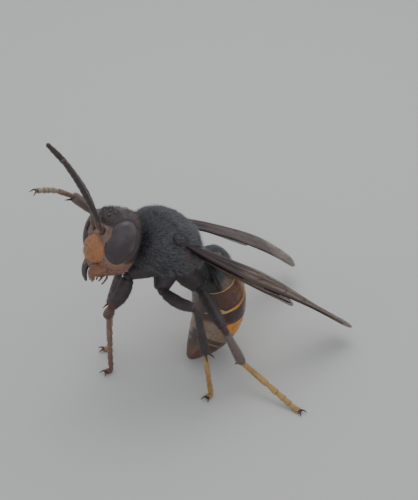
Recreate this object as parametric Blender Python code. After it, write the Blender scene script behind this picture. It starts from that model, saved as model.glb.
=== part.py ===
"""An Asian hornet worker, life size: standing head-up, gaster curled under, one foreleg raised.

Lengths are in millimetres and are scaled to metres as each mesh is made. The hornet faces -Y, its
left side is +X, and its feet stand on Z = 0.
"""

import math

import bmesh
import bpy
from mathutils import Euler, Matrix, Vector

MM = 0.001
GAP = 0.3
# The middle of the model's bounds on the floor, which becomes the frame's origin.
ORIGIN = Vector((1.35, 2.55, 0.0))

HEAD_WIDTH = 5.0
HEAD_HEIGHT = 4.9
HEAD_DEPTH = 3.3
HEAD_CENTRE = Vector((0.15, -5.25, 13.25))
HEAD_TURN = Euler((math.radians(-17), math.radians(-9), math.radians(6)))
HEAD_POWER = 2.35
FRONT_SHARE = 0.53
# Centre and half sizes of the clypeus and of the left eye in the head's frame, and the eye's turn.
CLYPEUS_CENTRE = Vector((0.0, -1.42, -0.55))
CLYPEUS_SIZES = Vector((1.3, 0.6, 1.12))
EYE_CENTRE = Vector((1.58, -0.34, 0.28))
EYE_SIZES = Vector((0.93, 1.15, 1.78))
EYE_TURN = (-14, 3, -15)
NOTCH_CENTRE = Vector((0.95, -1.55, 0.95))
NOTCH_RADIUS = 0.62
# Root, middle and tip of each mandible in the head's frame.
MANDIBLES = {
    "left": ((1.05, -1.1, -1.60), (0.66, -1.90, -2.12), (0.34, -1.62, -2.98)),
    "right": ((-1.15, -1.1, -1.60), (-0.95, -1.50, -2.45), (-0.33, -1.72, -3.14)),
}
MANDIBLE_SHAPE = ((0.0, 0.34, 0.50), (0.35, 0.36, 0.52), (0.7, 0.30, 0.40), (0.92, 0.20, 0.24),
                  (1.0, 0.08, 0.10))
TOOTH_SHARES = (0.66, 0.84)
TOOTH_LENGTH = 0.42
TOOTH_THICKNESS = 0.30

THORAX_LENGTH = 6.9
THORAX_WIDTH = 5.4
THORAX_HEIGHT = 5.0
THORAX_CENTRE = Vector((0.0, -0.5, 11.3))
THORAX_TURN = Euler((math.radians(-28), 0, 0))
THORAX_POWER = 2.2
# Where the thorax's three pieces part, as shares of its length.
PRONOTUM_END = 0.19
MESOTHORAX_END = 0.75
# Centre, half sizes and sideways slope of the left tegula in the thorax's frame.
TEGULA_CENTRE = Vector((2.42, -0.9, 1.42))
TEGULA_SIZES = Vector((0.5, 0.75, 0.5))
TEGULA_SLOPE = 48

GASTER_WIDTH = 5.2
GASTER_HEIGHT = 4.2

ANTENNA_THICKNESS = 0.52
SPUR_LENGTH = 0.9
CLAW_LENGTH = 0.75
TOE_HEIGHT = 0.2
# How far from the toe a standing tarsus starts to turn flat on the floor.
INSTEP = 1.0
BALL = 0.45

WING_THICKNESS = 0.44
VEIN_HEIGHT = 0.12

BODY_SIDES = 24
LEG_SIDES = 8
FINE_STEPS = 12

# A profile's rows: place along the length, then half width, reach above and reach below the axis,
# as shares of the part's length, half width and half height.
HEAD_PROFILE = (
    (0.00, 0.34, 0.58, 0.30),
    (0.05, 0.52, 0.80, 0.62),
    (0.16, 0.72, 0.96, 0.84),
    (0.30, 0.88, 1.00, 0.92),
    (0.46, 0.98, 0.96, 0.96),
    (0.62, 1.00, 0.85, 1.00),
    (0.78, 0.92, 0.63, 1.02),
    (0.90, 0.75, 0.36, 1.00),
    (0.97, 0.47, 0.12, 0.84),
    (1.00, 0.22, 0.02, 0.58),
)
THORAX_PROFILE = (
    (0.00, 0.34, 0.20, 0.46),
    (0.05, 0.66, 0.52, 0.70),
    (0.13, 0.86, 0.80, 0.86),
    (0.25, 0.97, 0.98, 0.97),
    (0.40, 1.00, 1.02, 1.00),
    (0.55, 1.00, 0.96, 0.98),
    (0.64, 0.95, 0.85, 0.95),
    (0.68, 0.93, 0.80, 0.93),
    (0.76, 0.87, 0.63, 0.90),
    (0.84, 0.76, 0.40, 0.84),
    (0.92, 0.58, 0.18, 0.70),
    (1.00, 0.30, 0.02, 0.40),
)
GASTER_PROFILE = (
    (0.00, 0.16, 0.18, 0.18),
    (0.04, 0.26, 0.28, 0.28),
    (0.10, 0.62, 0.54, 0.60),
    (0.18, 0.88, 0.62, 0.86),
    (0.30, 1.00, 0.77, 1.00),
    (0.48, 1.00, 0.86, 1.00),
    (0.64, 0.86, 0.82, 0.88),
    (0.78, 0.64, 0.70, 0.68),
    (0.90, 0.38, 0.44, 0.42),
    (1.00, 0.10, 0.12, 0.10),
)
GASTER_PATH = (
    Vector((0.0, 2.65, 9.2)),
    Vector((0.0, 3.7, 8.1)),
    Vector((0.05, 4.25, 6.4)),
    Vector((0.2, 4.25, 4.6)),
    Vector((0.5, 3.7, 3.0)),
    Vector((0.9, 2.4, 1.8)),
    Vector((1.4, 0.6, 0.8)),
)
# Where each ring's edge is on the flank, as a share of the length, and how much nearer the front it
# is on the back, and nearer the tip on the belly.
GASTER_EDGES = (
    (0.0, 0.0),
    (0.225, 0.075),
    (0.45, 0.14),
    (0.605, 0.12),
    (0.715, 0.09),
    (0.84, 0.05),
    (1.0, 0.0),
)
# The orange rings of the gaster.
TAIL_RINGS = (4, 5)
RIM_STEP = 0.05
RING_GAP = 0.42

FEMUR_SHAPE = ((0.0, 0.50), (0.10, 0.80), (0.40, 1.00), (0.75, 0.95), (0.93, 0.75), (1.0, 0.50))
TIBIA_SHAPE = ((0.0, 0.55), (0.10, 0.80), (0.45, 0.82), (0.80, 1.00), (0.95, 0.95), (1.0, 0.60))
TARSOMERE_ENDS = (0.46, 0.62, 0.74, 0.84, 1.00)
TARSOMERE_SHAPE = ((0.0, 0.78), (0.82, 1.00))

# Joints of each leg from the body out, then the way its foot points on the floor in degrees.
LEGS = {
    "fore_left": {
        "hip": (0.95, -2.9, 10.5), "trochanter": (0.5, -4.15, 10.05), "knee": (0.66, -5.8, 7.7),
        "heel": (-1.57, -4.95, 5.35), "toe": (-1.25, -5.5, TOE_HEIGHT), "heading": -80,
    },
    "fore_right": {
        "hip": (-1.0, -2.9, 10.4), "trochanter": (-1.7, -3.8, 9.7), "knee": (-3.8, -3.9, 12.7),
        "heel": (-4.0, -6.2, 15.3), "toe": (-3.9, -9.2, 16.8), "heading": None,
    },
    "mid_left": {
        "hip": (1.1, -1.3, 9.3), "trochanter": (1.8, -2.1, 8.6), "knee": (5.7, -1.3, 8.9),
        "heel": (6.1, -0.8, 4.8), "toe": (5.8, -0.4, TOE_HEIGHT), "heading": -66,
    },
    "mid_right": {
        "hip": (-1.1, -1.3, 9.3), "trochanter": (-1.9, -1.8, 8.6), "knee": (-5.0, -1.5, 7.9),
        "heel": (-3.4, -3.8, 4.8), "toe": (-4.0, -4.2, TOE_HEIGHT), "heading": -115,
    },
    "hind_left": {
        "hip": (1.3, 0.8, 8.5), "trochanter": (2.0, 1.2, 7.7), "knee": (6.2, 0.8, 6.6),
        "heel": (5.4, 3.0, 2.0), "toe": (11.0, 4.7, TOE_HEIGHT), "heading": 15,
    },
    "hind_right": {
        "hip": (-1.3, 0.8, 8.5), "trochanter": (-2.0, 1.2, 7.7), "knee": (-5.6, 2.8, 8.5),
        "heel": (-7.2, 4.6, 3.6), "toe": (-8.3, 8.4, TOE_HEIGHT), "heading": 110,
    },
}
# Thickness of the coxa, femur, tibia and tarsus of each pair.
LEG_THICKNESS = {
    "fore": (1.70, 1.12, 0.88, 0.50),
    "mid": (1.90, 0.92, 0.76, 0.50),
    "hind": (1.90, 0.98, 0.80, 0.52),
}

# Socket of the left antenna in the head's frame, then the elbow and flagellum of each in the world.
SOCKET = Vector((0.50, -1.40, 0.92))
ANTENNAE = {
    "left": ((0.65, -6.65, 15.9), (0.75, -7.5, 18.1), (0.9, -8.45, 20.2), (1.15, -9.4, 21.9)),
    "right": ((-1.0, -6.0, 15.3), (-1.5, -6.5, 17.2), (-2.2, -7.55, 19.4), (-2.75, -8.75, 21.2)),
}
FLAGELLUM_PIECES = 11

# Each wing: points of its axis from the root, full width, and tilt of its outer edge in degrees.
WINGS = {
    "forewing_left": (
        ((2.7, 0.2, 12.15), (3.2, 3.9, 9.3), (3.9, 8.1, 6.1), (4.6, 12.4, 2.4), (4.8, 13.8, 1.3)),
        2.1, 10),
    "forewing_right": (
        ((-2.7, 0.2, 12.15), (-3.45, 6.1, 8.6), (-4.2, 11.2, 5.0), (-4.68, 14.85, 1.6)),
        2.1, -11),
    "hindwing_left": (((2.6, 0.6, 10.45), (3.5, 3.9, 8.1), (4.45, 8.2, 4.7)), 1.4, 7),
    "hindwing_right": (((-2.6, 0.9, 10.55), (-3.5, 5.0, 8.3), (-4.05, 9.4, 5.4)), 1.4, -11),
}
# Width of a wing along its length, as a share of the full width.
WING_OUTLINE = ((0.00, 0.30), (0.08, 0.42), (0.30, 0.80), (0.62, 1.00), (0.84, 1.04),
                (0.93, 1.02), (0.98, 0.75), (1.00, 0.35))
WING_ROWS = 18
# Columns across a wing from its hind edge to its front edge: place, and whether a vein runs there.
WING_COLUMNS = ((0.00, False), (0.16, True), (0.32, False), (0.52, True), (0.68, False),
                (0.82, True), (0.91, False), (1.00, True))
CROSS_VEIN_ROWS = (6, 10, 13)
CROSS_VEIN_COLUMNS = (2, 4)
STIGMA_ROWS = (11, 12)
STIGMA_COLUMN = 6


def material(name, colour, roughness):
    """A plain opaque surface."""
    made = bpy.data.materials.new(name)
    made.use_nodes = True
    shader = made.node_tree.nodes["Principled BSDF"]
    shader.inputs["Base Color"].default_value = (*colour, 1.0)
    shader.inputs["Roughness"].default_value = roughness
    return made


def clear_scene():
    for body in list(bpy.data.objects):
        bpy.data.objects.remove(body)


def hermite(a, b, slope_a, slope_b, t):
    return (
        a * (2 * t**3 - 3 * t**2 + 1)
        + slope_a * (t**3 - 2 * t**2 + t)
        + b * (3 * t**2 - 2 * t**3)
        + slope_b * (t**3 - t**2)
    )


def row_at(profile, place):
    """The values of a profile at a place, on a smooth curve through its rows."""
    last = len(profile) - 2
    k = 0
    while k < last and profile[k + 1][0] < place:
        k += 1
    a, b = profile[k], profile[k + 1]
    before, after = profile[max(k - 1, 0)], profile[min(k + 2, last + 1)]
    span = b[0] - a[0]
    t = min(max((place - a[0]) / span, 0.0), 1.0)
    values = []
    for i in range(1, len(a)):
        slope_a = span * (b[i] - before[i]) / (b[0] - before[0])
        slope_b = span * (after[i] - a[i]) / (after[0] - a[0])
        values.append(hermite(a[i], b[i], slope_a, slope_b, t))
    return values


class Path:
    """A smooth curve through a few points, read by distance along it."""

    def __init__(self, points):
        points = [Vector(p) for p in points]
        ends = [2 * points[0] - points[1], *points, 2 * points[-1] - points[-2]]
        self.fine = []
        for a, b, c, d in zip(ends, ends[1:], ends[2:], ends[3:]):
            for step in range(FINE_STEPS):
                self.fine.append(self.between(a, b, c, d, step / FINE_STEPS))
        self.fine.append(points[-1])
        self.run = [0.0]
        for a, b in zip(self.fine, self.fine[1:]):
            self.run.append(self.run[-1] + (b - a).length)
        self.length = self.run[-1]

    @staticmethod
    def between(a, b, c, d, t):
        return 0.5 * (
            2 * b + (c - a) * t + (2 * a - 5 * b + 4 * c - d) * t**2
            + (3 * b - a - 3 * c + d) * t**3
        )

    def point(self, share):
        """The point at a share of the length."""
        distance = share * self.length
        k = 0
        while k < len(self.run) - 2 and self.run[k + 1] < distance:
            k += 1
        step = (distance - self.run[k]) / (self.run[k + 1] - self.run[k])
        return self.fine[k].lerp(self.fine[k + 1], step)

    def tangent(self, share):
        reach = 0.02
        return (self.point(min(share + reach, 1)) - self.point(max(share - reach, 0))).normalized()


def ring(centre, side, up, half_width, above, below, count, power=2.0):
    """Points of an oval whose upper and lower halves have their own heights."""
    points = []
    for i in range(count):
        angle = math.tau * (i + 0.5) / count
        c, s = math.cos(angle), math.sin(angle)
        x = half_width * math.copysign(abs(c) ** (2 / power), c)
        y = (above if s > 0 else below) * math.copysign(abs(s) ** (2 / power), s)
        points.append(centre + side * x + up * y)
    return points


def add_object(name, bm, paint, parent=None, location=None):
    """Turns a bmesh in millimetres into an object in metres."""
    bmesh.ops.recalc_face_normals(bm, faces=bm.faces)
    bmesh.ops.scale(bm, vec=(MM, MM, MM), verts=bm.verts)
    mesh = bpy.data.meshes.new(name)
    bm.to_mesh(mesh)
    bm.free()
    mesh.materials.append(paint)
    body = bpy.data.objects.new(name, mesh)
    bpy.context.scene.collection.objects.link(body)
    body.parent = parent
    if location:
        body.location = location * MM
    return body


def skin(name, rings, paint, parent=None):
    """One closed body through rings of points, with a flat face at each end."""
    origin = sum(rings[0], Vector()) / len(rings[0])
    bm = bmesh.new()
    rows = [[bm.verts.new(point - origin) for point in points] for points in rings]
    for low, high in zip(rows, rows[1:]):
        for i in range(len(low)):
            j = (i + 1) % len(low)
            bm.faces.new((low[i], low[j], high[j], high[i]))
    bm.faces.new(rows[0])
    bm.faces.new(rows[-1])
    return add_object(name, bm, paint, parent, origin)


def sweep(name, path, rows, paint, sides=LEG_SIDES, across=None, parent=None):
    """A tube along a path: each row is a share of the length, half width and half height."""
    if across is None:
        whole = path.point(1) - path.point(0)
        across = min(Matrix.Identity(3), key=lambda axis: abs(axis.dot(whole)))
    rings = []
    for share, half_width, half_height in rows:
        ahead = path.tangent(share)
        side = (across - ahead * across.dot(ahead)).normalized()
        rings.append(ring(path.point(share), side, side.cross(ahead), half_width, half_height,
                          half_height, sides))
    return skin(name, rings, paint, parent)


def ball(name, centre, half_sizes, paint, turn=Matrix(), sides=14, bands=7, parent=None):
    """An ellipsoid with small flat poles."""
    pole = math.radians(78)
    rings = []
    for k in range(bands):
        angle = pole * (2 * k / (bands - 1) - 1)
        radius = math.cos(angle)
        flat = ring(Vector((0, 0, half_sizes[2] * math.sin(angle) / math.sin(pole))),
                    Vector((1, 0, 0)), Vector((0, 1, 0)), half_sizes[0] * radius,
                    half_sizes[1] * radius, half_sizes[1] * radius, sides)
        rings.append([centre + turn @ point for point in flat])
    return skin(name, rings, paint, parent)


def spine(name, root, direction, length, thickness, paint, bend=Vector(), parent=None):
    """A tapering spine whose tip leans towards bend."""
    direction = direction.normalized()
    path = Path((root, root + direction * length * 0.5, root + direction * length + bend))
    rows = [(0.0, 0.5), (0.5, 0.36), (1.0, 0.08)]
    rows = [(share, thickness * size, thickness * size) for share, size in rows]
    return sweep(name, path, rows, paint, sides=5, parent=parent)


def keep_largest(mesh):
    """Leaves only the largest closed surface of a mesh."""
    bm = bmesh.new()
    bm.from_mesh(mesh)
    left = set(bm.verts)
    islands = []
    while left:
        front = [left.pop()]
        island = set(front)
        while front:
            for edge in front.pop().link_edges:
                for vert in edge.verts:
                    if vert not in island:
                        island.add(vert)
                        front.append(vert)
        left -= island
        islands.append(island)
    largest = max(islands, key=lambda island: sum(face.calc_area() for face in
                                                  {f for v in island for f in v.link_faces}))
    bmesh.ops.delete(bm, geom=[v for v in bm.verts if v not in largest], context="VERTS")
    bm.to_mesh(mesh)
    bm.free()


def combine(body, others, operation):
    """Joins other bodies to this one, or cuts them from it, and removes them."""
    group = bpy.data.collections.new(body.name + "_tools")
    for other in others:
        group.objects.link(other)
    step = body.modifiers.new(operation, "BOOLEAN")
    step.operation = operation
    step.operand_type = "COLLECTION"
    step.collection = group
    graph = bpy.context.evaluated_depsgraph_get()
    mesh = bpy.data.meshes.new_from_object(body.evaluated_get(graph))
    body.modifiers.clear()
    body.data = mesh
    keep_largest(mesh)
    for other in others:
        bpy.data.objects.remove(other)
    bpy.data.collections.remove(group)
    return body


def empty(name, centre, turn):
    """A frame that the pieces of one region are placed in."""
    frame = bpy.data.objects.new(name, None)
    frame.location = centre * MM
    frame.rotation_euler = turn
    bpy.context.scene.collection.objects.link(frame)
    return frame


def head_point(x, y, z):
    """A point given in the head's own frame, in the world."""
    return HEAD_CENTRE + HEAD_TURN.to_matrix() @ Vector((x, y, z))


def thorax_point(x, y, z):
    """A point given in the thorax's own frame, in the world."""
    return THORAX_CENTRE + THORAX_TURN.to_matrix() @ Vector((x, y, z))


def mirrored(point, hand):
    """A point of the left side, moved to the side of this hand."""
    return Vector((point[0] * hand, point[1], point[2]))


def head_shape(name, frame, paint, grow=0.0):
    """The head capsule with its clypeus, built from the mouth up."""
    front_half = HEAD_DEPTH * FRONT_SHARE
    back_half = HEAD_DEPTH - front_half
    rings = []
    for share, width, front, back in HEAD_PROFILE:
        height = (share - 0.5) * (HEAD_HEIGHT + 2 * grow)
        rings.append(ring(Vector((0, 0, height)), Vector((1, 0, 0)), Vector((0, -1, 0)),
                          width * HEAD_WIDTH / 2 + grow, front * front_half + grow,
                          back * back_half + grow, BODY_SIDES, HEAD_POWER))
    head = skin(name, rings, paint, frame)
    sizes = CLYPEUS_SIZES + Vector((grow, grow, grow))
    clypeus = ball("clypeus_form", CLYPEUS_CENTRE, sizes, paint, parent=frame)
    return combine(head, [clypeus], "UNION")


def eye_shape(name, frame, paint, hand, grow=0.0):
    """A long eye with the notch of its inner margin."""
    lean, roll, swing = (math.radians(angle) for angle in EYE_TURN)
    turn = Euler((lean, roll * hand, swing * hand)).to_matrix()
    sizes = EYE_SIZES + Vector((grow, grow, grow))
    eye = ball(name, mirrored(EYE_CENTRE, hand), sizes, paint, turn, 16, 9, frame)
    notch = ball("notch", mirrored(NOTCH_CENTRE, hand), [NOTCH_RADIUS - grow] * 3, paint,
                 sides=10, bands=5, parent=frame)
    return combine(eye, [notch], "DIFFERENCE")


def jaw_shape(name, side, hand, frame, paint, grow=0.0):
    """A curved jaw that narrows to its tip, with two more teeth along its inner edge."""
    path = Path(MANDIBLES[side])
    stops = [Vector(stop) for stop in MANDIBLES[side]]
    stops[0] -= path.tangent(0) * grow
    stops[-1] += path.tangent(1) * grow
    rows = [(share, half_width + grow, half_depth + grow)
            for share, half_width, half_depth in MANDIBLE_SHAPE]
    jaw = sweep(name, Path(stops), rows, paint, 10, Vector((0, 1, 0)), frame)
    teeth = [spine("tooth", path.point(share), Vector((-0.9 * hand, -0.1, -0.35)),
                   TOOTH_LENGTH + grow, TOOTH_THICKNESS + 2 * grow, paint, parent=frame)
             for share in TOOTH_SHARES]
    return combine(jaw, teeth, "UNION")


def make_head(paints):
    frame = empty("head_frame", HEAD_CENTRE, HEAD_TURN)
    head = head_shape("head", frame, paints["head"])
    pockets = []
    for side, hand in (("left", 1), ("right", -1)):
        pockets.append(eye_shape("socket", frame, paints["head"], hand, GAP))
        pockets.append(jaw_shape("pocket", side, hand, frame, paints["head"], GAP))
    combine(head, pockets, "DIFFERENCE")
    for side, hand in (("left", 1), ("right", -1)):
        eye_shape("eye_" + side, frame, paints["eye"], hand)
        jaw_shape("mandible_" + side, side, hand, frame, paints["mandible"])


def make_antenna(side, hand, paints):
    socket = head_point(*mirrored(SOCKET, hand))
    elbow = Vector(ANTENNAE[side][0])
    half = ANTENNA_THICKNESS / 2
    scape_path = Path((socket, socket.lerp(elbow, 0.5) + Vector((0, -0.12, 0.05)), elbow))
    trim = (GAP / 2 + half * 0.5) / scape_path.length
    rows = ((0.0, half * 1.1, half * 1.1), (0.18, half * 0.9, half * 0.9),
            (0.75, half * 1.1, half * 1.1), (1 - trim, half * 0.9, half * 0.9))
    scape = sweep("scape_" + side, scape_path, rows, paints["antenna"])
    frame = bpy.data.objects["head_frame"]
    combine(scape, [head_shape("cut", frame, paints["head"], GAP)], "DIFFERENCE")
    path = Path(ANTENNAE[side])
    rows = []
    for k in range(FLAGELLUM_PIECES):
        start, end = k / FLAGELLUM_PIECES, (k + 1) / FLAGELLUM_PIECES
        taper = 1 - 0.25 * max(0, (start - 0.75) / 0.25)
        first = (GAP / 2 + half * 0.5) / path.length if k == 0 else start
        rows.append((first, half * 0.88 * taper, half * 0.88 * taper))
        rows.append((start + 0.8 * (end - start), half * 1.06 * taper, half * 1.06 * taper))
    rows.append((1.0, half * 0.4, half * 0.4))
    sweep("flagellum_" + side, path, rows, paints["antenna"])


def thorax_rings(start, end, count, grow=0.0):
    """Rings of the thorax between two shares of its length, with rounded ends."""
    rings = []
    for k in range(count):
        share = start + (end - start) * k / (count - 1)
        width, above, below = row_at(THORAX_PROFILE, share)
        edge = 0.97 if k in (0, count - 1) and not grow else 1.0
        y = (share - 0.5) * (THORAX_LENGTH + 2 * grow)
        rings.append(ring(Vector((0, y, 0)), Vector((1, 0, 0)), Vector((0, 0, 1)),
                          edge * width * THORAX_WIDTH / 2 + grow,
                          edge * above * THORAX_HEIGHT / 2 + grow,
                          edge * below * THORAX_HEIGHT / 2 + grow, BODY_SIDES, THORAX_POWER))
    return rings


def thorax_cutter(paints):
    frame = bpy.data.objects["thorax_frame"]
    return skin("cut", thorax_rings(0.0, 1.0, 14, GAP), paints["thorax"], frame)


def make_thorax(paints):
    frame = empty("thorax_frame", THORAX_CENTRE, THORAX_TURN)
    gap = GAP / THORAX_LENGTH
    pronotum = skin("pronotum", thorax_rings(0.0, PRONOTUM_END, 5), paints["thorax"], frame)
    neck_path = Path((head_point(0, 0.6, -0.1), thorax_point(0, -3.3, -0.4),
                      thorax_point(0, -2.6, -0.3)))
    neck = sweep("neck", neck_path, ((0.0, 0.75, 0.7), (0.5, 0.8, 0.75), (1.0, 0.9, 0.85)),
                 paints["thorax"], 10)
    combine(pronotum, [neck], "UNION")
    head_frame = bpy.data.objects["head_frame"]
    combine(pronotum, [head_shape("cut", head_frame, paints["head"], GAP)], "DIFFERENCE")
    skin("mesothorax", thorax_rings(PRONOTUM_END + gap, MESOTHORAX_END, 9), paints["thorax"],
         frame)
    skin("propodeum", thorax_rings(MESOTHORAX_END + gap, 1.0, 6), paints["thorax"], frame)
    for side, hand in (("left", 1), ("right", -1)):
        turn = Euler((0, math.radians(TEGULA_SLOPE * hand), 0)).to_matrix()
        tegula = ball("tegula_" + side, mirrored(TEGULA_CENTRE, hand), TEGULA_SIZES,
                      paints["tegula"], turn, 12, 5, frame)
        combine(tegula, [thorax_cutter(paints)], "DIFFERENCE")


def gaster_point(path, share, angle, step):
    """A point of the gaster's surface, by its share of the length and its angle up from the flank."""
    width, above, below = row_at(GASTER_PROFILE, share)
    ahead = path.tangent(share)
    side = (Vector((1, 0, 0)) - ahead * ahead.x).normalized()
    reach = above if math.sin(angle) > 0 else below
    x = math.cos(angle) * step * width * GASTER_WIDTH / 2
    y = math.sin(angle) * step * reach * GASTER_HEIGHT / 2
    return path.point(share) + side * x + side.cross(ahead) * y


def make_gaster(paints):
    """Six rings with slanting edges that step in size where each slides under the one before."""
    path = Path(GASTER_PATH)
    gap = RING_GAP / path.length
    angles = [math.tau * (i + 0.5) / BODY_SIDES for i in range(BODY_SIDES)]
    for number, (front, back) in enumerate(zip(GASTER_EDGES, GASTER_EDGES[1:]), 1):
        first = number == 1
        count = 8 if first else 5
        rings = []
        for k in range(count):
            along = k / (count - 1)
            step = 1 if first else 1 - RIM_STEP * (1 - along)
            points = []
            for angle in angles:
                start = front[0] - front[1] * math.sin(angle) + (0 if first else gap)
                end = back[0] - back[1] * math.sin(angle)
                points.append(gaster_point(path, start + (end - start) * along, angle, step))
            rings.append(points)
        paint = paints["tail"] if number in TAIL_RINGS else paints["gaster"]
        skin(f"gaster_{number}", rings, paint)


def trim_at(before, joint, after, thickness):
    """How far from a joint a segment ends, so that it clears its neighbour at their bend."""
    turn = (joint - before).angle(after - joint)
    return GAP / 2 + thickness * 0.3 * math.tan(turn / 2)


def segment(name, start, end, trims, thickness, shape, paint):
    """A straight leg segment between two joints."""
    ahead = (end - start).normalized()
    path = Path((start + ahead * trims[0], end - ahead * trims[1]))
    rows = [(share, size * thickness / 2, size * thickness / 2) for share, size in shape]
    return sweep(name, path, rows, paint)


def make_leg(name, leg, paints):
    pair = name.split("_")[0]
    coxa_size, femur_size, tibia_size, tarsus_size = LEG_THICKNESS[pair]
    hip, trochanter, knee, heel, toe = (
        Vector(leg[joint]) for joint in ("hip", "trochanter", "knee", "heel", "toe"))
    at_trochanter = trim_at(hip, trochanter, knee, femur_size)
    at_knee = trim_at(trochanter, knee, heel, femur_size)
    at_heel = trim_at(knee, heel, toe, tibia_size)

    ahead = (trochanter - hip).normalized()
    coxa_path = Path((hip - ahead * 0.3, trochanter - ahead * at_trochanter))
    rows = ((0.0, 0.5), (0.45, 0.5), (0.8, 0.36), (1.0, 0.28))
    coxa = sweep("coxa_" + name, coxa_path,
                 [(share, size * coxa_size, size * coxa_size) for share, size in rows],
                 paints["leg"])
    combine(coxa, [thorax_cutter(paints)], "DIFFERENCE")

    segment("femur_" + name, trochanter, knee, (at_trochanter, at_knee), femur_size,
            FEMUR_SHAPE, paints["leg"])
    tibia = segment("tibia_" + name, knee, heel, (at_knee, at_heel), tibia_size,
                    TIBIA_SHAPE, paints["leg"])
    raised = leg["heading"] is None
    combine(tibia, tibia_spurs(pair, knee, heel, toe, at_heel, raised, paints), "UNION")
    make_tarsus(name, leg["heading"], knee, heel, toe, at_heel, tarsus_size, paints)


def tibia_spurs(pair, knee, heel, toe, trim, raised, paints):
    """The spines at a tibia's end: one on a foreleg, two on the others. A raised foot is bent towards
    them, a standing one away from them."""
    ahead = (heel - knee).normalized()
    root = heel - ahead * (trim + 0.35)
    out = ahead.cross(toe - heel).normalized()
    inner = out.cross(ahead).normalized() * (1 if raised else -1)
    spurs = []
    for spread in (0.0,) if pair == "fore" else (-0.5, 0.5):
        direction = ahead * 0.8 + inner * 0.75 + out * spread
        spurs.append(spine("spur", root, direction, SPUR_LENGTH, 0.4, paints["leg"]))
    return spurs


def make_tarsus(name, heading, knee, heel, toe, trim, thickness, paints):
    """Five tarsomeres and two claws; the last tarsomere of a standing foot lies on the floor."""
    if heading is None:
        forward = (toe - heel).normalized()
        down = Vector((0, -0.35, -1))
        stops = (heel, heel.lerp(toe, 0.5) + Vector((0, 0, 0.25)), toe)
    else:
        forward = Vector((math.cos(math.radians(heading)), math.sin(math.radians(heading)), 0))
        down = Vector()
        ball = toe - forward * BALL
        instep = ball + (heel - ball).normalized() * INSTEP
        stops = (heel, heel.lerp(instep, 0.6), instep, ball, toe)
    path = Path(stops)
    rows = []
    start = 0.0
    for end in TARSOMERE_ENDS:
        for along, size in TARSOMERE_SHAPE:
            share = start + (end - start) * along
            if not rows:
                share = trim / path.length
            rows.append((share, size * thickness / 2, size * thickness / 2))
        start = end
    tarsus = sweep("tarsus_" + name, path, rows, paints["tarsus"])
    across = forward.cross(Vector((0, 0, 1))).normalized()
    claws = [spine("claw", toe - forward * 0.25 + across * hand * 0.1,
                   forward + across * hand * 0.5 + down * 0.3, CLAW_LENGTH, 0.34,
                   paints["claw"], down * 0.25 - across * hand * 0.1)
             for hand in (1, -1)]
    combine(tarsus, claws, "UNION")
    if heading is not None:
        cut_at_floor(tarsus)


def cut_at_floor(body):
    """Takes off what is below the floor, which leaves a small flat sole."""
    bm = bmesh.new()
    bm.from_mesh(body.data)
    floor = (0, 0, -body.location.z)
    bmesh.ops.bisect_plane(bm, geom=[*bm.verts, *bm.edges, *bm.faces], plane_co=floor,
                           plane_no=(0, 0, -1), clear_outer=True)
    bmesh.ops.holes_fill(bm, edges=[edge for edge in bm.edges if edge.is_boundary])
    bm.to_mesh(body.data)
    bm.free()


def wing_height(row, column, is_vein):
    """Half thickness of the wing at a grid point."""
    crosses = row in CROSS_VEIN_ROWS and column in CROSS_VEIN_COLUMNS
    stigma = row in STIGMA_ROWS and column == STIGMA_COLUMN
    return WING_THICKNESS / 2 + (VEIN_HEIGHT if is_vein or crosses or stigma else 0.0)


def make_wing(name, paints):
    """A folded wing: a thin blade with its veins raised, in like triangles on both faces."""
    axis, width, tilt = WINGS[name]
    hand = 1 if name.endswith("left") else -1
    path = Path(axis)
    outward = Vector((hand * math.cos(math.radians(tilt)), 0, -math.sin(math.radians(tilt))))
    bm = bmesh.new()
    origin = Vector(axis[0])
    top, bottom = [], []
    for row in range(WING_ROWS + 1):
        share = row / WING_ROWS
        ahead = path.tangent(share)
        across = (outward - ahead * outward.dot(ahead)).normalized()
        normal = across.cross(ahead) * hand
        span = width * row_at(WING_OUTLINE, share)[0]
        for line, way in ((top, 1), (bottom, -1)):
            line.append([])
            for column, (place, is_vein) in enumerate(WING_COLUMNS):
                point = path.point(share) + across * (place - 0.5) * span
                rise = wing_height(row, column, is_vein) if way > 0 else -WING_THICKNESS / 2
                line[-1].append(bm.verts.new(point + normal * rise - origin))
    triangulate_sheet(bm, top, bottom)
    wing = add_object(name, bm, paints["wing"], None, origin)
    combine(wing, [thorax_cutter(paints)], "DIFFERENCE")


def triangulate_sheet(bm, top, bottom):
    """Faces of a thin sheet: both faces share their diagonals, and strips close the rim."""
    rows, columns = len(top), len(top[0])
    for i in range(rows - 1):
        for j in range(columns - 1):
            for sheet in (top, bottom):
                a, b = sheet[i][j], sheet[i][j + 1]
                c, d = sheet[i + 1][j + 1], sheet[i + 1][j]
                bm.faces.new((a, b, c))
                bm.faces.new((a, c, d))
    rim = [(0, j) for j in range(columns)] + [(i, columns - 1) for i in range(1, rows)]
    rim += [(rows - 1, j) for j in range(columns - 2, -1, -1)]
    rim += [(i, 0) for i in range(rows - 2, 0, -1)]
    for (i, j), (k, m) in zip(rim, rim[1:] + rim[:1]):
        bm.faces.new((top[i][j], top[k][m], bottom[k][m]))
        bm.faces.new((top[i][j], bottom[k][m], bottom[i][j]))


def centre_model():
    """Moves the whole model so that the middle of its bounds stands over the origin."""
    for body in bpy.data.objects:
        if body.parent is None:
            body.location -= ORIGIN * MM


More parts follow.
